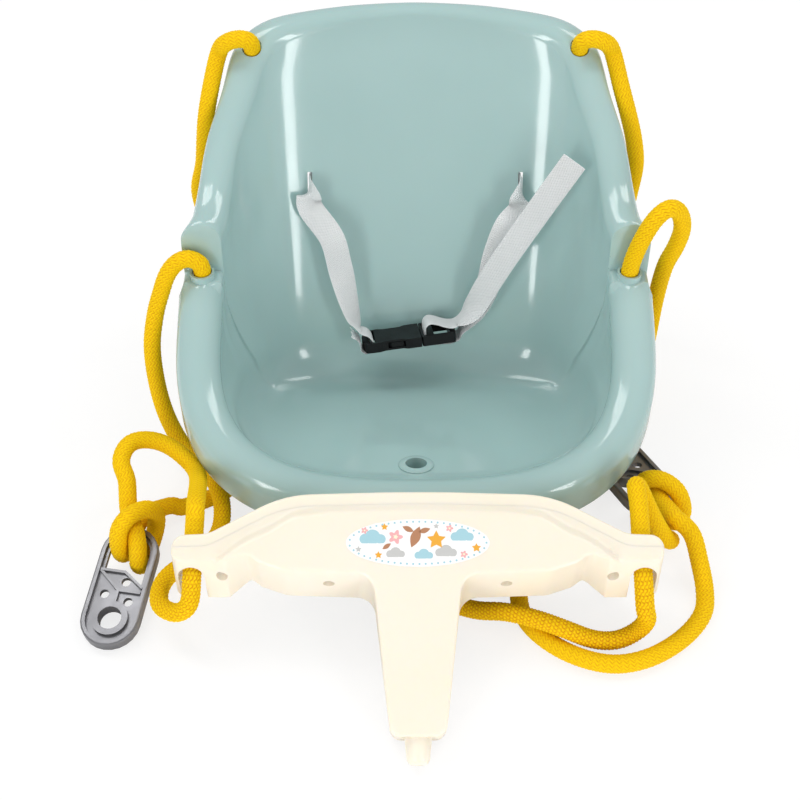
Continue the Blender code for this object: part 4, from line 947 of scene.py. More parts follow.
def bar_blank(name):
    """The whole bar before it is parted: outline, rounded edges, raised middle and thin leg."""
    outline = [(x, -v) for x, v in bar_outline()]
    made = prism(name, outline, -BAR_THICK, 0.0)
    for vertex in made.data.vertices:
        if vertex.co.z < -BAR_THICK / 2:
            vertex.co.y -= draft(vertex.co.x, -vertex.co.y)
    edge = made.modifiers.new("edge", "BEVEL")
    edge.width = BAR_EDGE
    edge.segments = 8
    edge.limit_method = "ANGLE"
    edge.angle_limit = math.radians(60)
    bake(made)
    cut_grid(made.data)
    middle = -BAR_THICK / 2
    for vertex in made.data.vertices:
        x, y, z = vertex.co
        z -= dome_drop(x, -y) * min(max(1 - z / middle, 0.0), 1.0)
        vertex.co.z = middle + (z - middle) * bar_thickness(-y) / BAR_THICK
    return made


def cap_cutter(depth):
    """The space that holds the cap: all that lies within a depth of the far edge."""
    corners = [(x, v + depth, radius) for x, v, radius in far_edge()[:3]]
    corners.append((BAR_HALF_WIDTH + 0.02, LUG_FAR + depth, 0))
    corners.append((BAR_HALF_WIDTH + 0.02, -0.03, 0))
    corners += [(-x, v, radius) for x, v, radius in reversed(corners[1:])]
    outline = [(x, -v) for x, v in rounded_outline(corners)]
    return prism("cap_space", outline, -BAR_THICK - 0.01, 0.01)


def eye_cutter(side, start, end, bottom):
    """A cutter for a rope eye between two v places; its foot is round when bottom is None."""
    top = -EYE_RISE - EYE_HALF
    foot = -EYE_RISE - EYE_HEIGHT + EYE_HALF
    arc = [Vector((math.cos(a), math.sin(a))) * EYE_HALF
           for a in (math.pi * k / 24 for k in range(25))]
    outline = [p + Vector((0, top)) for p in arc]
    if bottom is None:
        outline += [Vector((0, foot)) - p for p in arc]
    else:
        outline += [Vector((-EYE_HALF, bottom)), Vector((EYE_HALF, bottom))]
    middle = side * (BAR_HALF_WIDTH - EYE_INSET)
    upright = Matrix(((1, 0, 0, middle), (0, 0, -1, 0), (0, 1, 0, 0), (0, 0, 0, 1)))
    return prism("eye", outline, start, end, upright)


def screw_axis(x):
    """Local start and end of a screw: from under its head, through the bar, into the cap."""
    near = BAR_DEPTH if x < 0.1 else LUG_NEAR
    near += draft(x, near) * SCREW_DEPTH / BAR_THICK
    split = CAP_DEPTH + between([corner[:2] for corner in far_edge()], x)
    return near, near - SCREW_SINK, split - SCREW_BITE


def plate_place(side):
    """World matrix of a hang plate, in the middle of its rope bar, with Y towards that end."""
    x, y, heading = PLATE_LEFT if side < 0 else PLATE_RIGHT
    lift = (PLATE_LENGTH - PLATE_BAR / 2) * math.sin(PLATE_TILT)
    lift += PLATE_THICK / 2 * math.cos(PLATE_TILT) + GAP
    return (Matrix.Translation((x, y, lift)) @ Matrix.Rotation(heading, 4, "Z")
            @ Matrix.Rotation(PLATE_TILT, 4, "X"))


def mm(*triples, side=1):
    """Points from millimetres, with X turned round for the left side."""
    return [Vector((side * x, y, z)) / 1000 for x, y, z in triples]


def hitch_points(side):
    """World points of the doubled turn of rope round a hang plate's rope bar."""
    if side < 0:
        path = mm((-9, 22, 20), (-6, 10, 14.5), (-1, 1, 12.3), (4, -7, 12.3), (7, -16, 9.5),
                  (7.5, -23.5, 1), (7.6, -22, -8), (8, -13, -12.6), (8.5, -2, -13.6), (9, 8, -13),
                  (10, 15.5, -6), (10.5, 15.5, 6), (9, 12, 17.5), (4, 5.5, 25), (-1.5, -2, 26.8),
                  (-6.5, -9.5, 21.5), (-7.4, -15.5, 10.5), (-7.4, -17, 0), (-7.4, -12.5, -10.5),
                  (-7.4, -2, -13.6), (-6.5, 9, -13.2), (-4, 19, -14), (0, 28, -17), (8, 34, -20))
    else:
        path = mm((5, 22, 14), (4, 8, 12.9), (-1.5, -4, 12.3), (-6, -11.5, 10), (-7.4, -15.5, 1),
                  (-7.4, -12.5, -10.5), (-7.4, -1, -13.5), (-9, 10.5, -10), (-11, 14, 1),
                  (-10.5, 13.5, 10), (-8, 9.5, 20), (-1, 1.5, 26.3), (5, -7, 24),
                  (7.4, -14.5, 15.5), (7.4, -16, 4), (7.4, -13, -10), (7.4, -1, -13.5),
                  (7.4, 10, -13), (7, 21, -10))
    return [plate_place(side) @ p for p in path]


def ledge_top(side):
    """The point where the rope comes out of a ledge's hole."""
    return Vector((side * LEDGE_X, HOLE_Y, LEDGE_TOP))


def back_exit(side):
    """The point where the rope comes out of a hole in the backrest's rim, and its direction."""
    centre, way = back_hole()
    return Vector((side * centre.x, centre.y, centre.z)) + way * 0.014, way


def bar_point(side, v, w=0.0):
    """A world point on a rope eye's middle line, or at a height above it."""
    return bar_frame() @ Vector((side * (BAR_HALF_WIDTH - EYE_INSET), -v, w - EYE_RISE - EYE_HALF))


def buckle_frame():
    """World matrix of the buckle: X towards its tongue, Y across, Z off the seat."""
    turn = (Matrix.Rotation(-PAN_SLOPE, 4, "X") @ Matrix.Rotation(BUCKLE_TURN, 4, "Z")
            @ Matrix.Rotation(-BUCKLE_RISE, 4, "Y"))
    return Matrix.Translation(BUCKLE_MIDDLE) @ turn


def slot_exit(side, start):
    """The webbing's turn out of a belt slot: on edge in the slot, then twisting to hang down."""
    frame = slot_frame(side)
    up = frame.to_3x3() @ Vector((0, 1, 0))
    front = frame.to_3x3() @ Vector((0, 0, 1))
    at = frame.translation
    return [(at + front * start, up), (at + front * (start + 0.003), up),
            (at + front * (start + 0.0065) - UP * 0.0005, up - Vector((side * 0.15, 0, 0))),
            (at + front * (start + 0.012) + Vector((0, -0.001, -0.005)),
             Vector((-side * 0.55, 0.3, 0.75))),
            (at + front * (start + 0.014) + Vector((-side * 0.001, -0.004, -0.015)),
             Vector((-side * 0.8, 0.35, 0.45)))]


def pchip(at, values, wanted):
    """Smooth curves through rows of values at places, without overshoot, at other places."""
    gaps = np.diff(at)[:, None, None]
    slopes = np.diff(values, axis=0) / gaps
    tangents = np.zeros_like(values)
    first, second = 2 * gaps[1:] + gaps[:-1], gaps[1:] + 2 * gaps[:-1]
    with np.errstate(divide="ignore", invalid="ignore"):
        mean = (first + second) / (first / slopes[:-1] + second / slopes[1:])
    tangents[1:-1] = np.where(slopes[:-1] * slopes[1:] > 0, mean, 0)
    tangents[0], tangents[-1] = slopes[0], slopes[-1]
    i = np.clip(np.searchsorted(at, wanted, side="right") - 1, 0, len(at) - 2)
    gap = gaps[i]
    t = ((wanted - at[i]) / (at[i + 1] - at[i]))[:, None, None]
    return (values[i] * (2 * t ** 3 - 3 * t ** 2 + 1) + values[i + 1] * (3 * t ** 2 - 2 * t ** 3)
            + gap * tangents[i] * (t ** 3 - 2 * t ** 2 + t)
            + gap * tangents[i + 1] * (t ** 3 - t ** 2))


def seat_skins():
    """Both skins of the bucket as fine grids of points, and the skins' number of columns."""
    front, ledge = front_stations(), ledge_stations()
    half = front + ledge + back_stations()
    ghosts = [s.mirrored() for s in half]
    line = [ghosts[2], ghosts[1]] + half + [ghosts[-2], ghosts[-3]]
    at = np.concatenate([[0], np.cumsum([(b.centre - a.centre).length
                                         for a, b in zip(line, line[1:])])])
    # equal steps between the cuts, which stay where they are
    wanted = [at[2]]
    for low, high in zip(at[2:-3], at[3:-2]):
        steps = max(1, math.ceil((high - low) / LOOP_STEP))
        wanted += [low + (high - low) * k / steps for k in range(1, steps + 1)]
    wanted = np.array(wanted)
    start, end = at[2], at[-3]
    # each column is a mean of its neighbours, of fewer near the ledge, whose edges stay crisp
    crisp = at[2 + len(front)] - 0.004, at[1 + len(front) + len(ledge)] + 0.004
    places = np.concatenate([wanted, 2 * end - wanted[-2:0:-1]]) - start
    around = 2 * (end - start)
    folded = np.minimum(places, around - places) + start
    away = np.maximum(np.maximum(crisp[0] - folded, folded - crisp[1]), 0)
    widths = ROUNDING * np.clip(away / 0.03, 0.15, 1.0)
    apart = np.abs(places[:, None] - places[None, :])
    apart = np.minimum(apart, around - apart)
    share = np.gradient(np.concatenate([places, [around]]))[:-1]
    weights = np.exp(-0.5 * (apart / widths[:, None]) ** 2) * share
    weights /= weights.sum(axis=1, keepdims=True)
    skins = []
    for inset in (0.0, WALL):
        rows = np.array([[tuple(p) for p in s.section(inset)] for s in line])
        fine = pchip(at, rows, wanted)
        other = fine[-2:0:-1] * np.array((-1, 1, 1))
        skins.append(np.einsum("ij,jrc->irc", weights, np.concatenate([fine, other])))
    return skins, len(places)


def seat_bucket(name):
    """The bucket of two skins, with its collars, boss and ribs, and its holes cut."""
    skins, count = seat_skins()
    points, faces = [], []
    rows = skins[0].shape[1] + 1
    for skin, inset in zip(skins, (0.0, WALL)):
        base = len(points)
        for cut in skin:
            middle = PAN_CENTRE.lerp(Vector(cut[0]), 0.5)
            middle.z = pan_height(middle.y) - inset
            points += [middle] + [Vector(p) for p in cut]
        for i in range(count):
            j = (i + 1) % count
            faces += [(base + i * rows + k, base + j * rows + k,
                       base + j * rows + k + 1, base + i * rows + k + 1) for k in range(rows - 1)]
        faces.append(tuple(base + i * rows for i in range(count)))
    hidden = count * rows
    for i in range(count):
        a, b = i * rows + rows - 1, (i + 1) % count * rows + rows - 1
        faces.append((a, b, hidden + b, hidden + a))
    shell = new_object(name, mesh_from(name, points, faces))
    combine(shell, seat_additions(), "UNION")
    combine(shell, seat_cuts(), "DIFFERENCE")
    smooth(shell)
    return shell


def plug():
    """The plug at the leg's end: a tapered pin with a rounded tip, from inside the leg."""
    place = Matrix.Translation((0, -LEG_LENGTH + PLUG_SINK, -BAR_THICK / 2)) @ Matrix.Rotation(
        math.pi / 2, 4, "X")
    length = PLUG_LENGTH + PLUG_SINK
    radius = 0.003
    tip = [(PLUG_TIP - radius + radius * math.cos(a), length - radius + radius * math.sin(a))
           for a in (k * math.pi / 12 for k in range(1, 6))]
    return turned("plug", [(0, 0), (PLUG_ROOT, 0), (PLUG_TIP + 0.0004, length - radius)] + tip
                  + [(PLUG_TIP - radius, length), (0, length)], place, 64)


def bar_cutters():
    """The cutters for the bar's body and for its cap: eyes, the leg's windows and the screws."""
    cuts, cap_cuts = [], []
    w = -SCREW_DEPTH
    for side in (-1, 1):
        cuts.append(eye_cutter(side, -0.01, 0.08, -BAR_THICK - 0.01))
        cap_cuts.append(eye_cutter(side, -0.01, 0.08, None))
        cuts.append(block("window", (0.0065, -LEG_LENGTH - 0.004, -BAR_THICK / 2 + 0.0062),
                          (0.0112, -LEG_LENGTH + 0.007, -BAR_THICK / 2 + 0.0092),
                          Matrix.Scale(side, 4, (1, 0, 0))))
        for x in (SCREW_X, BAR_HALF_WIDTH - SCREW_INSET):
            near, seat, end = screw_axis(x)
            x *= side
            cuts.append(rod("sink", (x, -seat, w), (x, -near - 0.01, w),
                            SCREW_HEAD + SCREW_PLAY, 32))
            cuts.append(rod("shank", (x, -end, w), (x, -seat - 0.001, w), SCREW_SHANK + GAP, 16))
            cap_cuts.append(rod("shank", (x, GAP - end, w), (x, -seat, w), SCREW_SHANK + GAP, 16))
    return cuts, cap_cuts


def bar_parts():
    """The safety bar's body with its plug, and its cap, in the world's frame."""
    body = bar_blank("safety_bar_body")
    cap = bar_blank("safety_bar_cap")
    combine(body, [cap_cutter(CAP_DEPTH + PARTING)], "DIFFERENCE")
    combine(cap, [cap_cutter(CAP_DEPTH)], "INTERSECT")
    combine(body, [plug()], "UNION")
    for made, cuts in zip((body, cap), bar_cutters()):
        combine(made, cuts, "DIFFERENCE")
        made.data.transform(bar_frame())
        smooth(made, 40)
    return body, cap


def rope_route(side):
    """Dense points along a side's whole rope: out of the seat's ledge, through the safety bar,
    round the hang plate and back behind the seat into the corner of the backrest."""
    hitch = hitch_points(side)
    first_way = (hitch[0] - hitch[1]).normalized()
    last_way = (hitch[-1] - hitch[-2]).normalized()
    first, last = hitch[0] + first_way * GAP, hitch[-1] + last_way * GAP
    eye = [bar_point(side, v) for v in (0.004, 0.018, 0.032, 0.046, 0.056)]
    top = ledge_top(side)
    if side < 0:
        front = [first, first + first_way * 0.010] + mm(
            (-218, -84, 61), (-214, -70, 64), (-204, -62, 61), (-190, -61, 56),
            (-175, -70, 52), (-162, -88, 51)) + eye + mm(
            (-157, -200, 42), (-168, -199.5, 32), (-181, -187, 27), (-180, -161, 21),
            (-160, -128, 9), (-148, -108, 9), (-147, -88, 21), (-158, -64, 26),
            (-178, -44, 32), (-192, -25, 45), (-200, -8, 64), (-203, 8, 90), (-199, 19, 114),
            (-193, 24, 132), (-187, 27, 147), (-179, 29, 157), (-170, 30.5, 160)) + [
            top + UP * 0.012, top + UP * 0.005, top]
        back_start = [last, last + last_way * 0.008] + mm(
            (-181, -83, 7), (-166, -77, 7), (-148, -66, 7), (-135, -48, 7), (-129, -22, 7),
            (-131, 4, 7))
        over = mm((-157, 145, 235), (-162, 138, 214), (-165, 135, 194), (-168, 134, 172))
    else:
        front = [last, last + last_way * 0.008] + mm((180, -135, 35), (168, -135, 58)) + [
            bar_point(side, -0.012, -0.004)] + eye + mm(
            (157, -199.5, 38), (160.5, -198, 21), (154, -199, 9), (140, -205, 7.5),
            (123, -206, 10), (102, -203, 18.5), (84, -197, 21), (62, -189.5, 19.5),
            (40, -180.5, 10), (15, -166, 7), (8, -143, 7),
            (24, -121, 9), (62, -104, 20), (95, -94, 23), (113, -78, 22), (121, -52, 18),
            (124, -25, 9), (135, -2, 7), (150, 14, 7), (170, 29, 9), (185, 46, 22),
            (190, 58, 52), (192, 63, 92), (194, 60, 128), (198, 54, 152), (199, 48, 174),
            (194, 43, 192), (185, 38, 201), (175, 33, 196), (168, 31, 182)) + [
            top + Vector((0.002, 0, 0.022)), top + UP * 0.008, top]
        back_start = [first, first + first_way * 0.010] + mm(
            (199, -133, 38), (206, -143, 19), (209, -162, 7.5), (204, -183, 7), (186, -204, 7),
            (160, -220, 7), (133, -224.5, 7), (105, -215, 7), (83, -196, 7), (74, -174, 7),
            (78, -146, 7), (92, -118, 7), (100, -90, 7), (100, -60, 7), (105, -22, 7),
            (118, 6, 7))
        over = mm((158, 145, 234), (165, 138, 214), (171, 135, 194), (175, 134, 172))
        hitch = hitch[::-1]
    inside = top - UP * (GAP + 0.0002)
    hole, way = back_exit(side)
    seat = [inside, inside - UP * 0.010, inside - UP * 0.024] + mm(
        (161, 39, 104), (160, 54, 92), (159, 80, 94), (159, 106, 118), (156, 132, 152),
        (146, 157, 186), side=side) + [
        hole - way * 0.045, hole - way * 0.020, hole - way * 0.002]
    outward = Vector((side, 0, 0))
    back = back_start + mm(
        (137, 32, 7), (146, 60, 7), (149, 98, 8), (150, 124, 18), (156, 136, 50),
        (166, 138, 90), (172, 136, 122), (174, 134, 148), side=side) + over[::-1] + [
        hole - way * 0.008 + outward * 0.026, hole + way * 0.005 + outward * 0.019,
        hole + way * 0.0105 + outward * 0.009, hole + way * 0.008 + outward * 0.001,
        hole + way * 0.003, hole - way * 0.0015]
    hidden = spaced(catmull(seat, 12), 0.002)
    cut = len(hidden) * 2 // 5
    return (hidden[cut::-1] + catmull(front, 12)[::-1] + catmull(hitch, 12)
            + catmull(back, 12) + hidden[:cut:-1])


def braid_tree():
    """Nodes that sweep a round section along a line and press the braid's grooves into it."""
    tree, given = geometry_tree("braided_rope", Diameter=ROPE, Stitch=STITCH, Rows=BRAID_ROWS,
                                Groove=GROOVE)
    even = own_line(tree, given, Length=calc(tree, "DIVIDE", given["Stitch"], STITCH_POINTS))
    run = add_node(tree, "GeometryNodeSplineParameter").outputs["Length"]
    path = store(tree, even, "run", run)
    section = ring(tree, calc(tree, "MULTIPLY", given["Rows"], STITCH_POINTS),
                   calc(tree, "MULTIPLY", given["Diameter"], 0.5))
    place = add_node(tree, "GeometryNodeInputIndex").outputs[0]
    tube = tube_along(tree, path, store(tree, section, "turn", place))
    # each row of stitches zigzags along the rope: low between the rows and at the stitches' ends
    leg = calc(tree, "DIVIDE", named(tree, "run"), given["Stitch"])
    zigzag = calc(tree, "MULTIPLY", calc(tree, "PINGPONG", leg, 1), 0.9)
    row = calc(tree, "ADD", calc(tree, "DIVIDE", named(tree, "turn"), STITCH_POINTS), zigzag)
    crown = calc(tree, "POWER", from_middle(tree, row), 2)
    ends = calc(tree, "MULTIPLY", calc(tree, "POWER", from_middle(tree, leg), 3), 0.55)
    relief = calc(tree, "MULTIPLY", calc(tree, "SUBTRACT", 1, crown),
                  calc(tree, "SUBTRACT", 1, ends))
    deep = calc(tree, "MULTIPLY", calc(tree, "SUBTRACT", relief, 0.75), given["Groove"])
    out = add_node(tree, "ShaderNodeVectorMath", {
        0: add_node(tree, "GeometryNodeInputNormal").outputs[0], "Scale": deep},
        operation="SCALE").outputs[0]
    close_tree(tree, given, moved(tree, store(tree, tube, "relief", relief), out))
    return tree


def even_route(route, step=0.0008, soft=0.0035):
    """A route's points at equal steps, with its small kinks smoothed out."""
    places = np.array([tuple(p) for p in spaced(route, step)])
    reach = round(soft / step)
    kernel = np.exp(-0.5 * (np.arange(-3 * reach, 3 * reach + 1) / reach) ** 2)
    kernel /= kernel.sum()
    padded = np.concatenate([places[:1].repeat(3 * reach, 0), places,
                             places[-1:].repeat(3 * reach, 0)])
    return np.stack([np.convolve(padded[:, c], kernel, "valid") for c in range(3)], 1)


def braided(name, places, tree, finish, **sizes):
    """A braided rope along points, and the points that its middle follows."""
    line = bpy.data.meshes.new(name)
    line.from_pydata(places.tolist(), [(i, i + 1) for i in range(len(places) - 1)], [])
    made = new_object(name, line)
    grow(made, tree, Finish=finish, **sizes)
    made.data.shade_smooth()
    return made, [tuple(p) for p in places[:-8:16].tolist()] + [tuple(places[-1].tolist())]


def strap(name, stations, across_steps=10):
    """Webbing through points, each with the direction of its width, with rounded selvedges.
    Where it bends on edge, its inner edge gathers instead of folding back."""
    middles = catmull([point for point, _ in stations], 12)
    sides = catmull([side.normalized() for _, side in stations], 12)
    outline = []
    for k in range(across_steps + 1):
        share = 2 * k / across_steps - 1
        outline.append((share, math.sqrt(max(0.0, 1 - abs(share) ** 12))))
    outline += [(a, -b) for a, b in outline[-2:0:-1]]
    points, faces, uvs = [], [], []
    count = len(middles)
    around = len(outline)
    run = 0.0
    edges = None
    for i, middle in enumerate(middles):
        run += (middle - middles[i - 1]).length if i else 0
        along = (middles[min(i + 1, count - 1)] - middles[max(i - 1, 0)]).normalized()
        side = (sides[i] - along * sides[i].dot(along)).normalized() * WEBBING / 2
        before = edges or [middle - side - along, middle + side - along]
        edges = [middle - side, middle + side]
        for k in (0, 1):
            edges[k] += along * max(GATHER - (edges[k] - before[k]).dot(along), 0.0)
        face = along.cross(edges[1] - edges[0]).normalized()
        for a, b in outline:
            points.append(edges[0].lerp(edges[1], (a + 1) / 2) + face * (b * WEBBING_THICK / 2))
            uvs.append((a * WEBBING / 2, run))
    for i in range(count - 1):
        for k in range(around):
            j = (k + 1) % around
            here, there = around * i, around * (i + 1)
            faces.append((here + k, here + j, there + j, there + k))
    faces += [tuple(range(around)), tuple(range(around * (count - 1), around * count))]
    made = new_object(name, mesh_from(name, points, faces))
    layer = made.data.uv_layers.new(name="weave")
    for loop in made.data.loops:
        layer.data[loop.index].uv = uvs[loop.vertex_index]
    smooth(made, 50)
    return made, run


# Where the webbing that the tongue pulls stops moving, and where it moves with the tongue, in mm
BENDS = {"belt_free": ((72, 92, 142), (52, 72, 79)),
         "belt_tail": ((104.5, 88, 178), (52, 68.5, 89))}


def belt_end():
    """The strap's cut end, turned round the socket's end bar and up behind it."""
    place = buckle_frame()
    across = place.to_3x3() @ Vector((0, 1, 0))
    end = -SOCKET_LONG
    through = SOCKET_BAR + SOCKET_SLOT / 2 - SOCKET_LONG
    return [(place @ Vector((x, 0, z)), across) for x, z in (
        (through, -0.0034), (end + 0.0030, -0.0058), (end - 0.0012, -0.0035),
        (end - 0.0016, 0.0030), (end - 0.0032, 0.0060), (end - 0.0055, 0.0085))]


def frayed_end(name, tree, finish, **sizes):
    """Loose threads along the strap's cut end, which lean forwards."""
    half = WEBBING / 2 - THREAD_INSET
    line = bpy.data.meshes.new(name)
    line.from_pydata([(0, -half, 0), (0, half, 0)], [(0, 1)], [])
    made = new_object(name, line)
    grow(made, tree, Finish=finish, **sizes)
    place = Matrix.Translation(belt_end()[-1][0]) @ buckle_frame().to_3x3().to_4x4()
    made.data.transform(place @ Matrix.Rotation(-0.75, 4, "Y"))
    return made


def fray_tree():
    """Nodes that set thin, crooked threads in a row along a line, all a little different."""
    tree, given = geometry_tree("frayed_threads", Threads=THREADS, Length=THREAD_LENGTH,
                                Thickness=THREAD_THICK, Spread=0.5)
    roots = own_line(tree, given, Count=given["Threads"])
    straight = add_node(tree, "GeometryNodeCurvePrimitiveLine", {"End": (0, 0, 1)}).outputs[0]
    thread = tube_along(tree, resampled(tree, straight, Count=6),
                        ring(tree, 5, calc(tree, "DIVIDE", given["Thickness"], given["Length"])))
    lean = calc(tree, "MULTIPLY", given["Spread"], -1)
    row = add_node(tree, "GeometryNodeInstanceOnPoints", {
        "Points": roots, "Instance": thread,
        "Rotation": scattered(tree, "FLOAT_VECTOR", lean, given["Spread"], 3),
        "Scale": calc(tree, "MULTIPLY", given["Length"],
                      scattered(tree, "FLOAT", 0.45, 1.0, 5))})
    real = add_node(tree, "GeometryNodeRealizeInstances", {"Geometry": row.outputs[0]})
    wave = add_node(tree, "ShaderNodeTexNoise", {"Scale": 900.0, "Detail": 1.0})
    shift = add_node(tree, "ShaderNodeVectorMath", {
        0: wave.outputs["Color"], 1: (0.5, 0.5, 0.5)}, operation="SUBTRACT")
    bend = add_node(tree, "ShaderNodeVectorMath", {0: shift.outputs[0], "Scale": 0.0012},
                    operation="SCALE")
    close_tree(tree, given, moved(tree, real.outputs[0], bend.outputs[0]))
    return tree


def dotted_tree():
    """Nodes that set round dots at even steps along a line."""
    tree, given = geometry_tree("dotted_line", Spacing=DOT_SPACING, Dot=DOT, Thickness=STICKER)
    dot = add_node(tree, "GeometryNodeMeshCylinder", {
        "Vertices": 20, "Radius": given["Dot"], "Depth": given["Thickness"]})
    row = add_node(tree, "GeometryNodeInstanceOnPoints", {
        "Points": own_line(tree, given, Length=given["Spacing"]), "Instance": dot.outputs[0]})
    close_tree(tree, given, row.outputs[0])
    return tree


def polar(reach, x, y, steps=72):
    """A flat outline about a place, by its reach at each angle."""
    return [Vector((x, y)) + Vector((math.cos(a), math.sin(a))) * reach(a)
            for a in (math.tau * k / steps for k in range(steps))]


def cloud(x, y, size):
    """A cloud: the outline of three round puffs over a flat foot."""
    puffs = ((-0.62, -0.05, 0.42), (0.0, 0.12, 0.60), (0.64, -0.06, 0.40))

    def reach(a):
        way = Vector((math.cos(a), math.sin(a)))
        far = 0.0
        for px, py, radius in puffs:
            near = way.dot(Vector((px, py)))
            inside = radius ** 2 - (px * px + py * py - near * near)
            far = max(far, near + math.sqrt(inside)) if inside > 0 else far
        return size * (min(far, 0.40 / -way.y) if way.y < 0 else far)
    return polar(reach, x, y)


def star(x, y, size):
    """A star with five points."""
    corners = ((math.pi * k / 5, size * (0.5 if k % 2 else 1.0)) for k in range(10))
    return [Vector((x, y)) + Vector((math.sin(a), math.cos(a))) * reach for a, reach in corners]


def flower(x, y, size):
    """A flower with five round petals."""
    return polar(lambda a: size * (0.78 + 0.22 * math.cos(5 * a)), x, y)


def leaf(x, y, size, turn):
    """A pointed leaf, turned by an angle."""
    place = Matrix.Rotation(turn, 2)
    curve = [Vector((t, 0.42 * math.sin(math.pi * (t + 1) / 2))) for t in
             (k / 12 - 1 for k in range(24))]
    curve += [Vector((-p.x, -p.y)) for p in curve]
    return [Vector((x, y)) + place @ p * size for p in curve]


# The sticker's motifs by layer: the layer's height, and for each motif its shape and, in mm, its
# place from the sticker's middle and its size, and a leaf's turn in radians
FLOWER_PLACES = ((-15.0, 4.0), (21.5, 10.0), (-36.0, 8.5), (31.0, -8.0))
MOTIFS = {
    "sticker_sky": (2, [(cloud, -30.5, 3.0, 8.5), (cloud, 30.0, 4.5, 7.5),
                        (cloud, 4.0, -8.5, 6.0)]),
    "sticker_grey": (2, [(cloud, -15.0, -7.5, 6.0), (cloud, 19.0, -6.5, 7.0),
                         (star, -40.0, -4.5, 2.2), (star, 12.5, 11.5, 2.0)]),
    "sticker_yellow": (3, [(star, 12.5, 2.0, 6.6), (star, -22.5, 11.0, 2.5),
                           (star, 39.5, -3.5, 3.2), (star, -26.5, -8.5, 2.6)]),
    "sticker_pink": (3, [(flower, *place, size)
                         for place, size in zip(FLOWER_PLACES, (5.0, 2.6, 2.4, 2.6))]),
    "sticker_brown": (3, [(leaf, -1.5, 4.0, 7.8, 1.2), (leaf, 4.5, 8.5, 4.2, 0.3),
                          (leaf, -6.5, 9.5, 4.2, 2.7), (leaf, -21.0, -2.5, 3.4, 0.6)]),
    "sticker_heart": (4, [(flower, *place, size)
                          for place, size in zip(FLOWER_PLACES, (1.7, 0.9, 0.8, 0.9))]),
}


def sticker_edge(share_x=1.0, share_y=1.0):
    """The sticker's oval outline, or one within it."""
    return [Vector((p.x * STICKER_HALF[0] * share_x, p.y * STICKER_HALF[1] * share_y + STICKER_AT))
            for p in polar(lambda a: 1.0, 0, 0, 96)]


def sticker_layers():
    """The sticker's layers as (name, outlines, height above the bar in layers)."""
    layers = [("sticker_white", [sticker_edge()], 1)]
    for name, (level, motifs) in MOTIFS.items():
        outlines = [shape(x / 1000, STICKER_AT + y / 1000, size / 1000, *turn)
                    for shape, x, y, size, *turn in motifs]
        layers.append((name, outlines, level))
    return layers


def merged(name, parts):
    """One object from the meshes of several."""
    work = bmesh.new()
    for part in parts:
        work.from_mesh(part.data)
        bpy.data.objects.remove(part, do_unlink=True)
    mesh = bpy.data.meshes.new(name)
    work.to_mesh(mesh)
    work.free()
    return new_object(name, mesh)


def belt_routes():
    """The stations of the belt's three lengths of webbing: points with the direction of the width.
    By the buckle they are (x, z) places in its own frame, and from there they hang as points and
    directions in the world."""
    place = buckle_frame()
    across = place.to_3x3() @ Vector((0, 1, 0))

    def by_buckle(*places):
        return [(place @ Vector((x, 0, z)), across) for x, z in places]

    left_slot, right_slot = slot_frame(-1), slot_frame(1)
    up = left_slot.to_3x3() @ Vector((0, 1, 0))
    left, right = left_slot.translation, right_slot.translation
    front = left_slot.to_3x3() @ Vector((0, 0, 1))
    behind = (left + right) / 2 - front * 0.018
    inward = Vector((0.004, 0, 0))
    through = SOCKET_BAR + SOCKET_SLOT / 2 - SOCKET_LONG
    over = BUCKLE_THICK / 2 + WEBBING_THICK / 2 + 2 * GAP
    end = TONGUE_LONG + 2 * GAP
    turned_back = 2 * GAP + TONGUE_ROOT + TONGUE_SLOT / 2
    left_hang = list(zip(mm((-49, 61, 73), (-54, 69, 89), (-59.5, 78.5, 110.5), (-66, 88, 134)),
                         mm((350, 700, -200), (500, 700, 300), (600, 450, 600),
                            (750, 400, 450))))
    right_hang = list(zip(mm((72, 92, 142), (64, 85, 120), (59, 75.5, 98), (50.5, 71.5, 76)),
                          mm((-800, 400, 400), (-700, 500, 500), (-720, 500, 450),
                             (-600, 700, 200))))
    tail = list(zip(mm((47, 67, 79), (57, 70, 99), (71, 75.5, 124), (88, 83, 150.5),
                       (104.5, 88, 178), (120, 93, 203)),
                    mm((-600, 700, 200), (-750, 500, 450), (-800, 400, 400), (-800, 400, 400),
                       (-800, 400, 400), (-800, 400, 400))))
    fixed = by_buckle((through, -0.0030), (through, 0.0035), (through - 0.003, over + 0.003),
                      (through - 0.009, 0.0125)) + left_hang + slot_exit(-1, 0.0)[::-1] + [
        (left - front * 0.006, up), (left - front * 0.012 + inward, up),
        (Vector((left.x * 0.85, behind.y, behind.z)), up), (behind, up),
        (Vector((right.x * 0.85, behind.y, behind.z)), up), (right - front * 0.012 - inward, up),
        (right - front * 0.006, up), (right, up), (right + front * 0.003, up),
        (right + front * 0.006, up)]
    free = slot_exit(1, 0.006 + GAP) + right_hang + by_buckle(
        (end + 0.0065, 0.0004), (end + 0.0030, -0.0046), (end - 0.0040, -over - 0.0012),
        (end / 2 + 0.0010, -over - 0.0008),
        (turned_back + 0.0030, -over - 0.0002), (turned_back, -0.0045), (turned_back, -0.0015))
    loose = by_buckle(
        (turned_back, -0.0015 + GAP), (turned_back, 0.0040), (turned_back + 0.0008, 0.0095),
        (turned_back + 0.0045, 0.0123), (turned_back + 0.0100, 0.0110),
        (end - 0.0080, 0.0080), (end - 0.0015, over + 0.0008), (end + 0.0050, 0.0085)) + tail
    return {"belt_fixed": fixed, "belt_free": free, "belt_tail": loose}


def colour_setting(label, use, code):
    """A setting that holds a colour as an sRGB hex code."""
    return bpy.props.StringProperty(name=label, description=f"sRGB hex code of {use}",
                                    default=code)


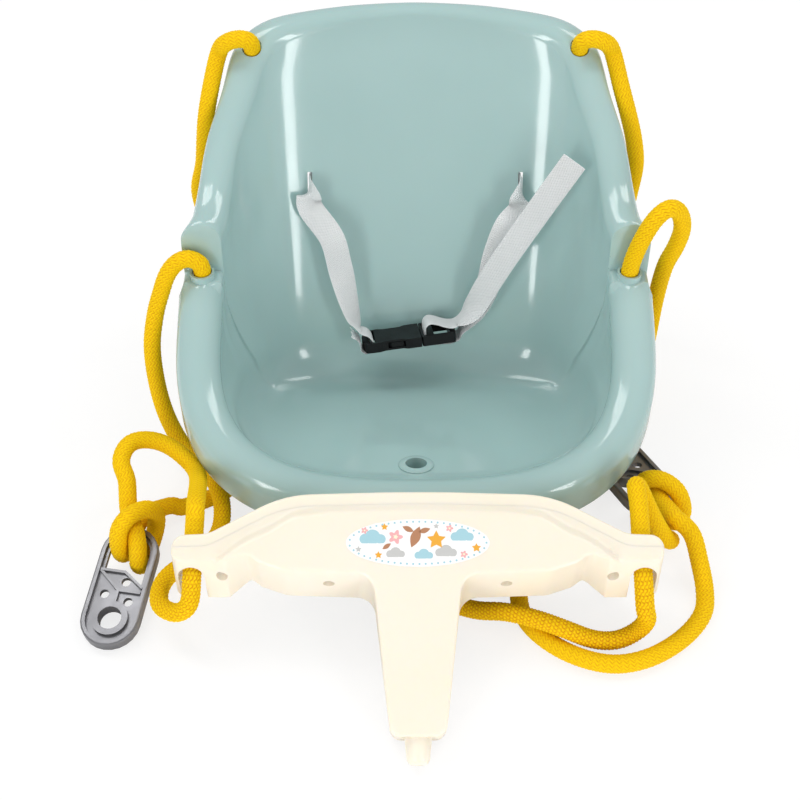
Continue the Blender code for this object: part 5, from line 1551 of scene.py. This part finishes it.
def length_setting(label, use, metres, least=0.0):
    """A setting that holds a length."""
    return bpy.props.FloatProperty(name=label, description=use, default=metres, min=least,
                                   unit="LENGTH", precision=5)


def power_setting(label, use, watts):
    """A setting that holds a lamp's power."""
    return bpy.props.FloatProperty(name=label, description=f"Power of {use}", default=watts,
                                   min=0.0, unit="POWER")


def count_setting(label, use, number, least):
    """A setting that holds how many there are of something."""
    return bpy.props.IntProperty(name=label, description=use, default=number, min=least)


class SwingColours(bpy.types.PropertyGroup):
    """The swing's colours"""
    seat: colour_setting("Seat", "the seat", "#A9C6C4")
    seat_tone: colour_setting("Seat tone", "the seat's second, close tone", "#A4C2C0")
    bar: colour_setting("Safety bar", "the safety bar", "#FBF1E1")
    bar_tone: colour_setting("Safety bar tone", "the bar's second, close tone", "#F9EFDC")
    screw: colour_setting("Screws", "the screws", "#9C8750")
    rope: colour_setting("Rope", "the rope", "#FFD500")
    # Painted shade: the grooves' deeper orange stands in for their shade and the light bounced
    # between stitches
    rope_groove_shade: colour_setting("Rope grooves", "the grooves between the stitches", "#E09400")
    plate: colour_setting("Hang plates", "the hang plates", "#8C8C90")
    plate_tone: colour_setting("Hang plate tone", "the plates' second, close tone", "#7A7A7C")
    belt: colour_setting("Belt", "the webbing", "#FAFBFC")
    # Painted shade: the weave's low places are painted greyer in place of their shade
    belt_weave_shade: colour_setting("Belt grooves", "the low places of the webbing's weave", "#ECEFF0")
    buckle: colour_setting("Buckle", "the buckle", "#0E0F11")
    buckle_tone: colour_setting("Buckle tone", "the buckle's second, close tone", "#0C0D0F")
    sticker_white: colour_setting("Sticker ground", "the sticker's ground", "#FDFDFB")
    sticker_sky: colour_setting("Sticker blue", "the blue clouds and the dots", "#A9D3DE")
    sticker_grey: colour_setting("Sticker grey", "the grey clouds and stars", "#C9C9C7")
    sticker_yellow: colour_setting("Sticker yellow", "the yellow stars", "#F0AE3A")
    sticker_pink: colour_setting("Sticker pink", "the flowers", "#F2B3B5")
    sticker_brown: colour_setting("Sticker brown", "the leaves", "#B98462")
    sticker_heart: colour_setting("Sticker cream", "the flowers' hearts", "#FFF3D6")


class SwingSizes(bpy.types.PropertyGroup):
    """Sizes of what repeats"""
    stitch: length_setting("Stitch", "Length of a stitch of the rope's braid", STITCH, 0.001)
    braid_rows: count_setting("Braid rows", "Rows of stitches round the rope", BRAID_ROWS, 6)
    groove: length_setting("Groove", "Depth between the rope's stitches", GROOVE)
    dot: length_setting("Sticker dot", "Radius of the dots round the sticker", DOT)
    dot_spacing: length_setting("Dot spacing", "Distance between the sticker's dots", DOT_SPACING)
    thread: length_setting("Frayed thread", "Longest thread at the cut end", THREAD_LENGTH)
    threads: count_setting("Frayed threads", "Threads along the webbing's cut end", THREADS, 2)


class SwingStage(bpy.types.PropertyGroup):
    """The camera and the light"""
    height: bpy.props.FloatProperty(name="Camera angle", default=math.radians(45),
                                    subtype="ANGLE", description="Above the level")
    distance: bpy.props.FloatProperty(name="Camera distance", default=1.1, unit="LENGTH",
                                      description="From the point that it looks at")
    lens: bpy.props.FloatProperty(name="Lens", default=60.84, description="Focal length in mm")
    key: power_setting("Key light", "the key light", 11.0)
    fill: power_setting("Fill light", "the fill light", 8.0)
    front: power_setting("Front lights", "each of the two front lights", 10.0)
    sky: bpy.props.FloatProperty(name="Surrounding light", default=0.56,
                                 description="Strength of the even light from all round")
    shade: bpy.props.FloatProperty(name="Floor shade", default=0.25, min=0.0, max=1.0,
                                   description="Share of the shadows that the floor shows")


def dress(piece, finish, body=None, nodes=()):
    """Give a piece its finish and slot, the CAD nodes that it stands for and a body to ride on."""
    piece.data.materials.clear()
    piece.data.materials.append(finish)
    if nodes:
        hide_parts(*nodes)
    if body:
        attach(piece, body)


def paint(nodes, finish):
    """Give CAD nodes that are shown as they are their finish."""
    for name in nodes:
        made = frame["nodes"][name]
        if not made.material_slots:
            made.data.materials.append(finish)
        made.material_slots[0].material = finish


def nodes_named(start):
    """The names of the CAD nodes that start with a word."""
    return [name for name in frame["nodes"] if name.startswith(start)]


class SWING_OT_seat(bpy.types.Operator):
    """Make the glossy bucket seat"""
    bl_idname = "swing.seat"
    bl_label = "Seat"

    def execute(self, context):
        tones = context.scene.swing_colours
        # Polyethylene from a polished mould: long clear highlights that waver a little, and pale
        # light that soaks into thin walls. The coat gives the sharp top of the gloss.
        finish = moulded("polished_polyethylene", tones.seat, tones.seat_tone, (0.10, 0.17),
                         Coat_Weight=0.35, Coat_Roughness=0.06, IOR=1.5,
                         Subsurface_Weight=0.08, Subsurface_Scale=0.003)
        dress(seat_bucket("bucket_seat"), finish, "seat", ["seat_shell"])
        return {"FINISHED"}


class SWING_OT_bar(bpy.types.Operator):
    """Make the safety bar and its cap"""
    bl_idname = "swing.bar"
    bl_label = "Safety bar"

    def execute(self, context):
        tones = context.scene.swing_colours
        # Polypropylene from a finely blasted mould: a soft, even sheen, and warm light that
        # spreads below the surface and keeps the shaded faces from going grey.
        finish = moulded("satin_polypropylene", tones.bar, tones.bar_tone, (0.28, 0.36),
                         grain=0.00002, Subsurface_Weight=0.25, Subsurface_Scale=0.004,
                         Subsurface_Radius=(1.0, 0.72, 0.4))
        body, cap = bar_parts()
        dress(body, finish, "safety_bar", ["bar_body"])
        dress(cap, finish, "safety_bar", ["bar_cap"])
        self.add_sticker(context.scene)
        # Yellow zinc on turned steel: a dull brassy glint at the bottom of each hole.
        steel, tree, shader = finish_for("zinc_plated_steel", tones.screw, Metallic=1.0,
                                         Roughness=0.4)
        bump(tree, shader, noise(tree, 900), 0.00003)
        paint(nodes_named("bar_screw"), steel)
        return {"FINISHED"}

    def add_sticker(self, scene):
        """Lay the sticker's thin layers on the bar's raised middle, and dots round its edge."""
        tones, sizes = scene.swing_colours, scene.swing_sizes
        finishes = {}
        # Printed vinyl film: flat inks a little glossier than the bar, and a faint orange peel
        # that breaks up the highlight.
        for name in ("sticker_white", *MOTIFS):
            finishes[name], tree, shader = finish_for(name.replace("sticker", "printed_vinyl"),
                                                      getattr(tones, name), Roughness=0.35)
            bump(tree, shader, noise(tree, 700), 0.00003)
        layers = [merged(name, [prism(name, outline, STICKER_GAP, level * STICKER)
                                for outline in outlines])
                  for name, outlines, level in sticker_layers()]
        edge = [(*p, 1.5 * STICKER) for p in sticker_edge(0.955, 0.89)]
        path = bpy.data.meshes.new("sticker_dots")
        path.from_pydata(edge, [(i, (i + 1) % len(edge)) for i in range(len(edge))], [])
        dots = new_object("sticker_dots", path)
        finishes["sticker_dots"] = finishes["sticker_sky"]
        grow(dots, dotted_tree(), Finish=finishes["sticker_dots"], Spacing=sizes.dot_spacing,
             Dot=sizes.dot)
        for layer in layers + [dots]:
            layer.data.transform(bar_frame())
            dress(layer, finishes[layer.name], "safety_bar")


class SWING_OT_ropes(bpy.types.Operator):
    """Make the braided ropes"""
    bl_idname = "swing.ropes"
    bl_label = "Ropes"

    def execute(self, context):
        tones = context.scene.swing_colours
        sizes = context.scene.swing_sizes
        # Braided polypropylene yarn: matt bright crowns with hardly a highlight, and grooves
        # painted a deeper orange, a painted shade for the light that goes from strand to strand.
        # The bump is the yarn's fibres, drawn 0.7 mm wide, coarser than the real ones, so that
        # they show.
        finish, tree, shader = finish_for("braided_polypropylene", tones.rope, Roughness=0.75,
                                          Specular_IOR_Level=0.2)
        relief = add_node(tree, "ShaderNodeAttribute", attribute_name="relief").outputs["Fac"]
        # Painted shade: the low places of the braid's relief take the deeper orange groove colour
        two_tones(tree, shader, ramp(tree, relief, 0, 1, 0.15, 0.75), tones.rope_groove_shade,
                  tones.rope)
        bump(tree, shader, noise(tree, 1500, 3), 0.0002)
        braid = braid_tree()
        for side, hand in ((-1, "left"), (1, "right")):
            places = even_route(rope_route(side))
            in_eye = np.array(bar_point(side, 0.032))
            split = int(np.argmin(np.linalg.norm(places - in_eye, axis=1)))
            for part, nodes in ((places[:split + 1], ("seat", "front")),
                                (places[split:], ("hitch", "back"))):
                piece, path = braided(f"rope_{hand}_{nodes[1]}_length", part, braid, finish,
                                      Stitch=sizes.stitch, Rows=sizes.braid_rows,
                                      Groove=sizes.groove)
                dress(piece, finish, "seat", [f"rope_{hand}_{name}" for name in nodes])
        return {"FINISHED"}


class SWING_OT_belt(bpy.types.Operator):
    """Make the lap belt's webbing and finish its buckle"""
    bl_idname = "swing.belt"
    bl_label = "Lap belt"

    def execute(self, context):
        tones, sizes = context.scene.swing_colours, context.scene.swing_sizes
        finish = self.webbing_finish(tones)
        for name, stations in belt_routes().items():
            piece, run = strap(name.replace("belt", "webbing"), stations)
            dress(piece, finish, None if name in BENDS else "seat", [name])
            if name in BENDS:
                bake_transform(piece)
        end, run = strap("webbing_end", belt_end())
        threads = frayed_end("webbing_threads", fray_tree(), finish, Threads=sizes.threads,
                             Length=sizes.thread)
        dress(end, finish, "seat")
        dress(threads, finish, "seat")
        # Acetal from a mould with a fine grain: near black, with broad dim highlights that pick
        # out the rounded edges.
        black = moulded("moulded_acetal", tones.buckle, tones.buckle_tone, (0.38, 0.5),
                        grain=0.00004, Specular_IOR_Level=0.25)
        paint(nodes_named("buckle"), black)
        return {"FINISHED"}

    def webbing_finish(self, tones):
        """Woven polyester: a matt, bright face with a soft halo at its edges, and rows of small
        crowns, with a painted shade in the weave's low places. The weave runs across and along the
        strap by its own map, at 1.9 and 1.6 mm, twice as coarse as the real one, so that it shows."""
        finish, tree, shader = finish_for("woven_polyester", tones.belt, Roughness=0.7,
                                          Sheen_Weight=0.2)
        uv = add_node(tree, "ShaderNodeTexCoord").outputs["UV"]
        split = add_node(tree, "ShaderNodeSeparateXYZ", {"Vector": uv})
        waves = [calc(tree, "SINE", calc(tree, "MULTIPLY", split.outputs[axis], math.tau / pitch))
                 for axis, pitch in (("X", 0.0019), ("Y", 0.0016))]
        weave = calc(tree, "MULTIPLY", *waves)
        bump(tree, shader, weave, 0.0004)
        # Painted shade: where the weave dips, the colour goes to the greyer tone
        two_tones(tree, shader, ramp(tree, weave, 0, 1, -0.6, 0.5), tones.belt_weave_shade, tones.belt)
        return finish


class SWING_OT_plates(bpy.types.Operator):
    """Finish the hang plates"""
    bl_idname = "swing.plates"
    bl_label = "Hang plates"

    def execute(self, context):
        tones = context.scene.swing_colours
        # Zinc die casting under a thin grey paint: a metal's dark and light faces, softened by
        # the paint, with a fine grain in the highlights.
        finish = moulded("painted_zinc_casting", tones.plate, tones.plate_tone, (0.30, 0.42),
                         grain=0.00004, Metallic=0.8)
        paint(["hang_plate_left", "hang_plate_right"], finish)
        return {"FINISHED"}


# The floor's half size, the point that the lamps face and the point that the camera looks at
FLOOR_HALF = 6
LIT_POINT = Vector((0, 0.03, 0.1))
CAMERA_TARGET = Vector((-0.012, 0.0205, 0.0205))
WHITE = (1, 1, 1, 1)


def softbox(name, place, size, power):
    """A rectangular area light that faces the swing."""
    data = bpy.data.lights.new(name, "AREA")
    data.shape = "RECTANGLE"
    data.size, data.size_y = size
    data.energy = power
    lamp = bpy.data.objects.new(name, data)
    bpy.context.scene.collection.objects.link(lamp)
    lamp.location = place
    lamp.rotation_euler = (LIT_POINT - Vector(place)).to_track_quat("-Z", "Y").to_euler()


class SWING_OT_stage(bpy.types.Operator):
    """Set the floor, the lights and the camera"""
    bl_idname = "swing.stage"
    bl_label = "Stage"

    def execute(self, context):
        stage = context.scene.swing_stage
        scene = context.scene
        corners = [(x * FLOOR_HALF, y * FLOOR_HALF, 0)
                   for x, y in ((-1, -1), (1, -1), (1, 1), (-1, 1))]
        floor = new_object("floor", mesh_from("floor", corners, [(0, 1, 2, 3)]))
        # White studio paper: matt, and so bright to the camera that only soft shadows show on it.
        paper, tree, shader = finish_for("studio_paper", "#FFFFFF", Roughness=0.9)
        seen = add_node(tree, "ShaderNodeLightPath").outputs["Is Camera Ray"]
        share = calc(tree, "MULTIPLY", seen, 1 - stage.shade)
        white = add_node(tree, "ShaderNodeEmission", {"Color": WHITE, "Strength": 1.03})
        shown = add_node(tree, "ShaderNodeMixShader", {0: share, 1: shader.outputs[0],
                                                       2: white.outputs[0]})
        tree.links.new(shown.outputs[0], tree.nodes["Material Output"].inputs["Surface"])
        floor.data.materials.append(paper)
        world = scene.world or bpy.data.worlds.new("surround")
        scene.world = world
        world.use_nodes = True
        background = world.node_tree.nodes["Background"]
        background.inputs["Color"].default_value = WHITE
        background.inputs["Strength"].default_value = stage.sky
        softbox("key", (-0.9, 0.5, 1.7), (0.5, 1.6), stage.key)
        softbox("fill", (1.0, 0.5, 1.7), (0.4, 1.4), stage.fill)
        softbox("front_left", (-1.0, -1.7, 0.5), (0.3, 1.3), stage.front)
        softbox("front_right", (1.0, -1.7, 0.5), (0.3, 1.3), stage.front)
        way = Vector((0, -math.cos(stage.height), math.sin(stage.height)))
        data = bpy.data.cameras.new("view")
        data.lens = stage.lens
        data.sensor_width = 36
        data.clip_start, data.clip_end = 0.01, 50
        camera = bpy.data.objects.new("view", data)
        scene.collection.objects.link(camera)
        camera.location = CAMERA_TARGET + way * stage.distance
        camera.rotation_euler = (-way).to_track_quat("-Z", "Y").to_euler()
        scene.camera = camera
        scene.view_settings.view_transform = "Standard"
        return {"FINISHED"}


OPERATORS = (SWING_OT_stage, SWING_OT_ropes, SWING_OT_seat, SWING_OT_bar, SWING_OT_belt,
             SWING_OT_plates)


class SWING_PT_panel(bpy.types.Panel):
    """Lists the swing's pieces and settings"""
    bl_label = "Child rope swing"
    bl_idname = "SWING_PT_panel"
    bl_space_type = "VIEW_3D"
    bl_region_type = "UI"
    bl_category = "Swing"

    def draw(self, context):
        """Show the settings, then a button for each piece."""
        for group in (context.scene.swing_sizes, context.scene.swing_colours,
                      context.scene.swing_stage):
            for name in group.__annotations__:
                self.layout.prop(group, name)
        for made in OPERATORS:
            self.layout.operator(made.bl_idname)


CLASSES = (SwingSizes, SwingColours, SwingStage, *OPERATORS, SWING_PT_panel)


def register():
    """Add the operators, the panel and the settings to Blender."""
    for made in CLASSES:
        bpy.utils.register_class(made)
    bpy.types.Scene.swing_sizes = bpy.props.PointerProperty(type=SwingSizes)
    bpy.types.Scene.swing_colours = bpy.props.PointerProperty(type=SwingColours)
    bpy.types.Scene.swing_stage = bpy.props.PointerProperty(type=SwingStage)


def unregister():
    """Take them out again."""
    del bpy.types.Scene.swing_stage
    del bpy.types.Scene.swing_colours
    del bpy.types.Scene.swing_sizes
    for made in reversed(CLASSES):
        bpy.utils.unregister_class(made)


def main():
    """Make every piece and the stage."""
    register()
    for made in OPERATORS:
        group, action = made.bl_idname.split(".")
        getattr(getattr(bpy.ops, group), action)()


if __name__ == "__main__":
    main()
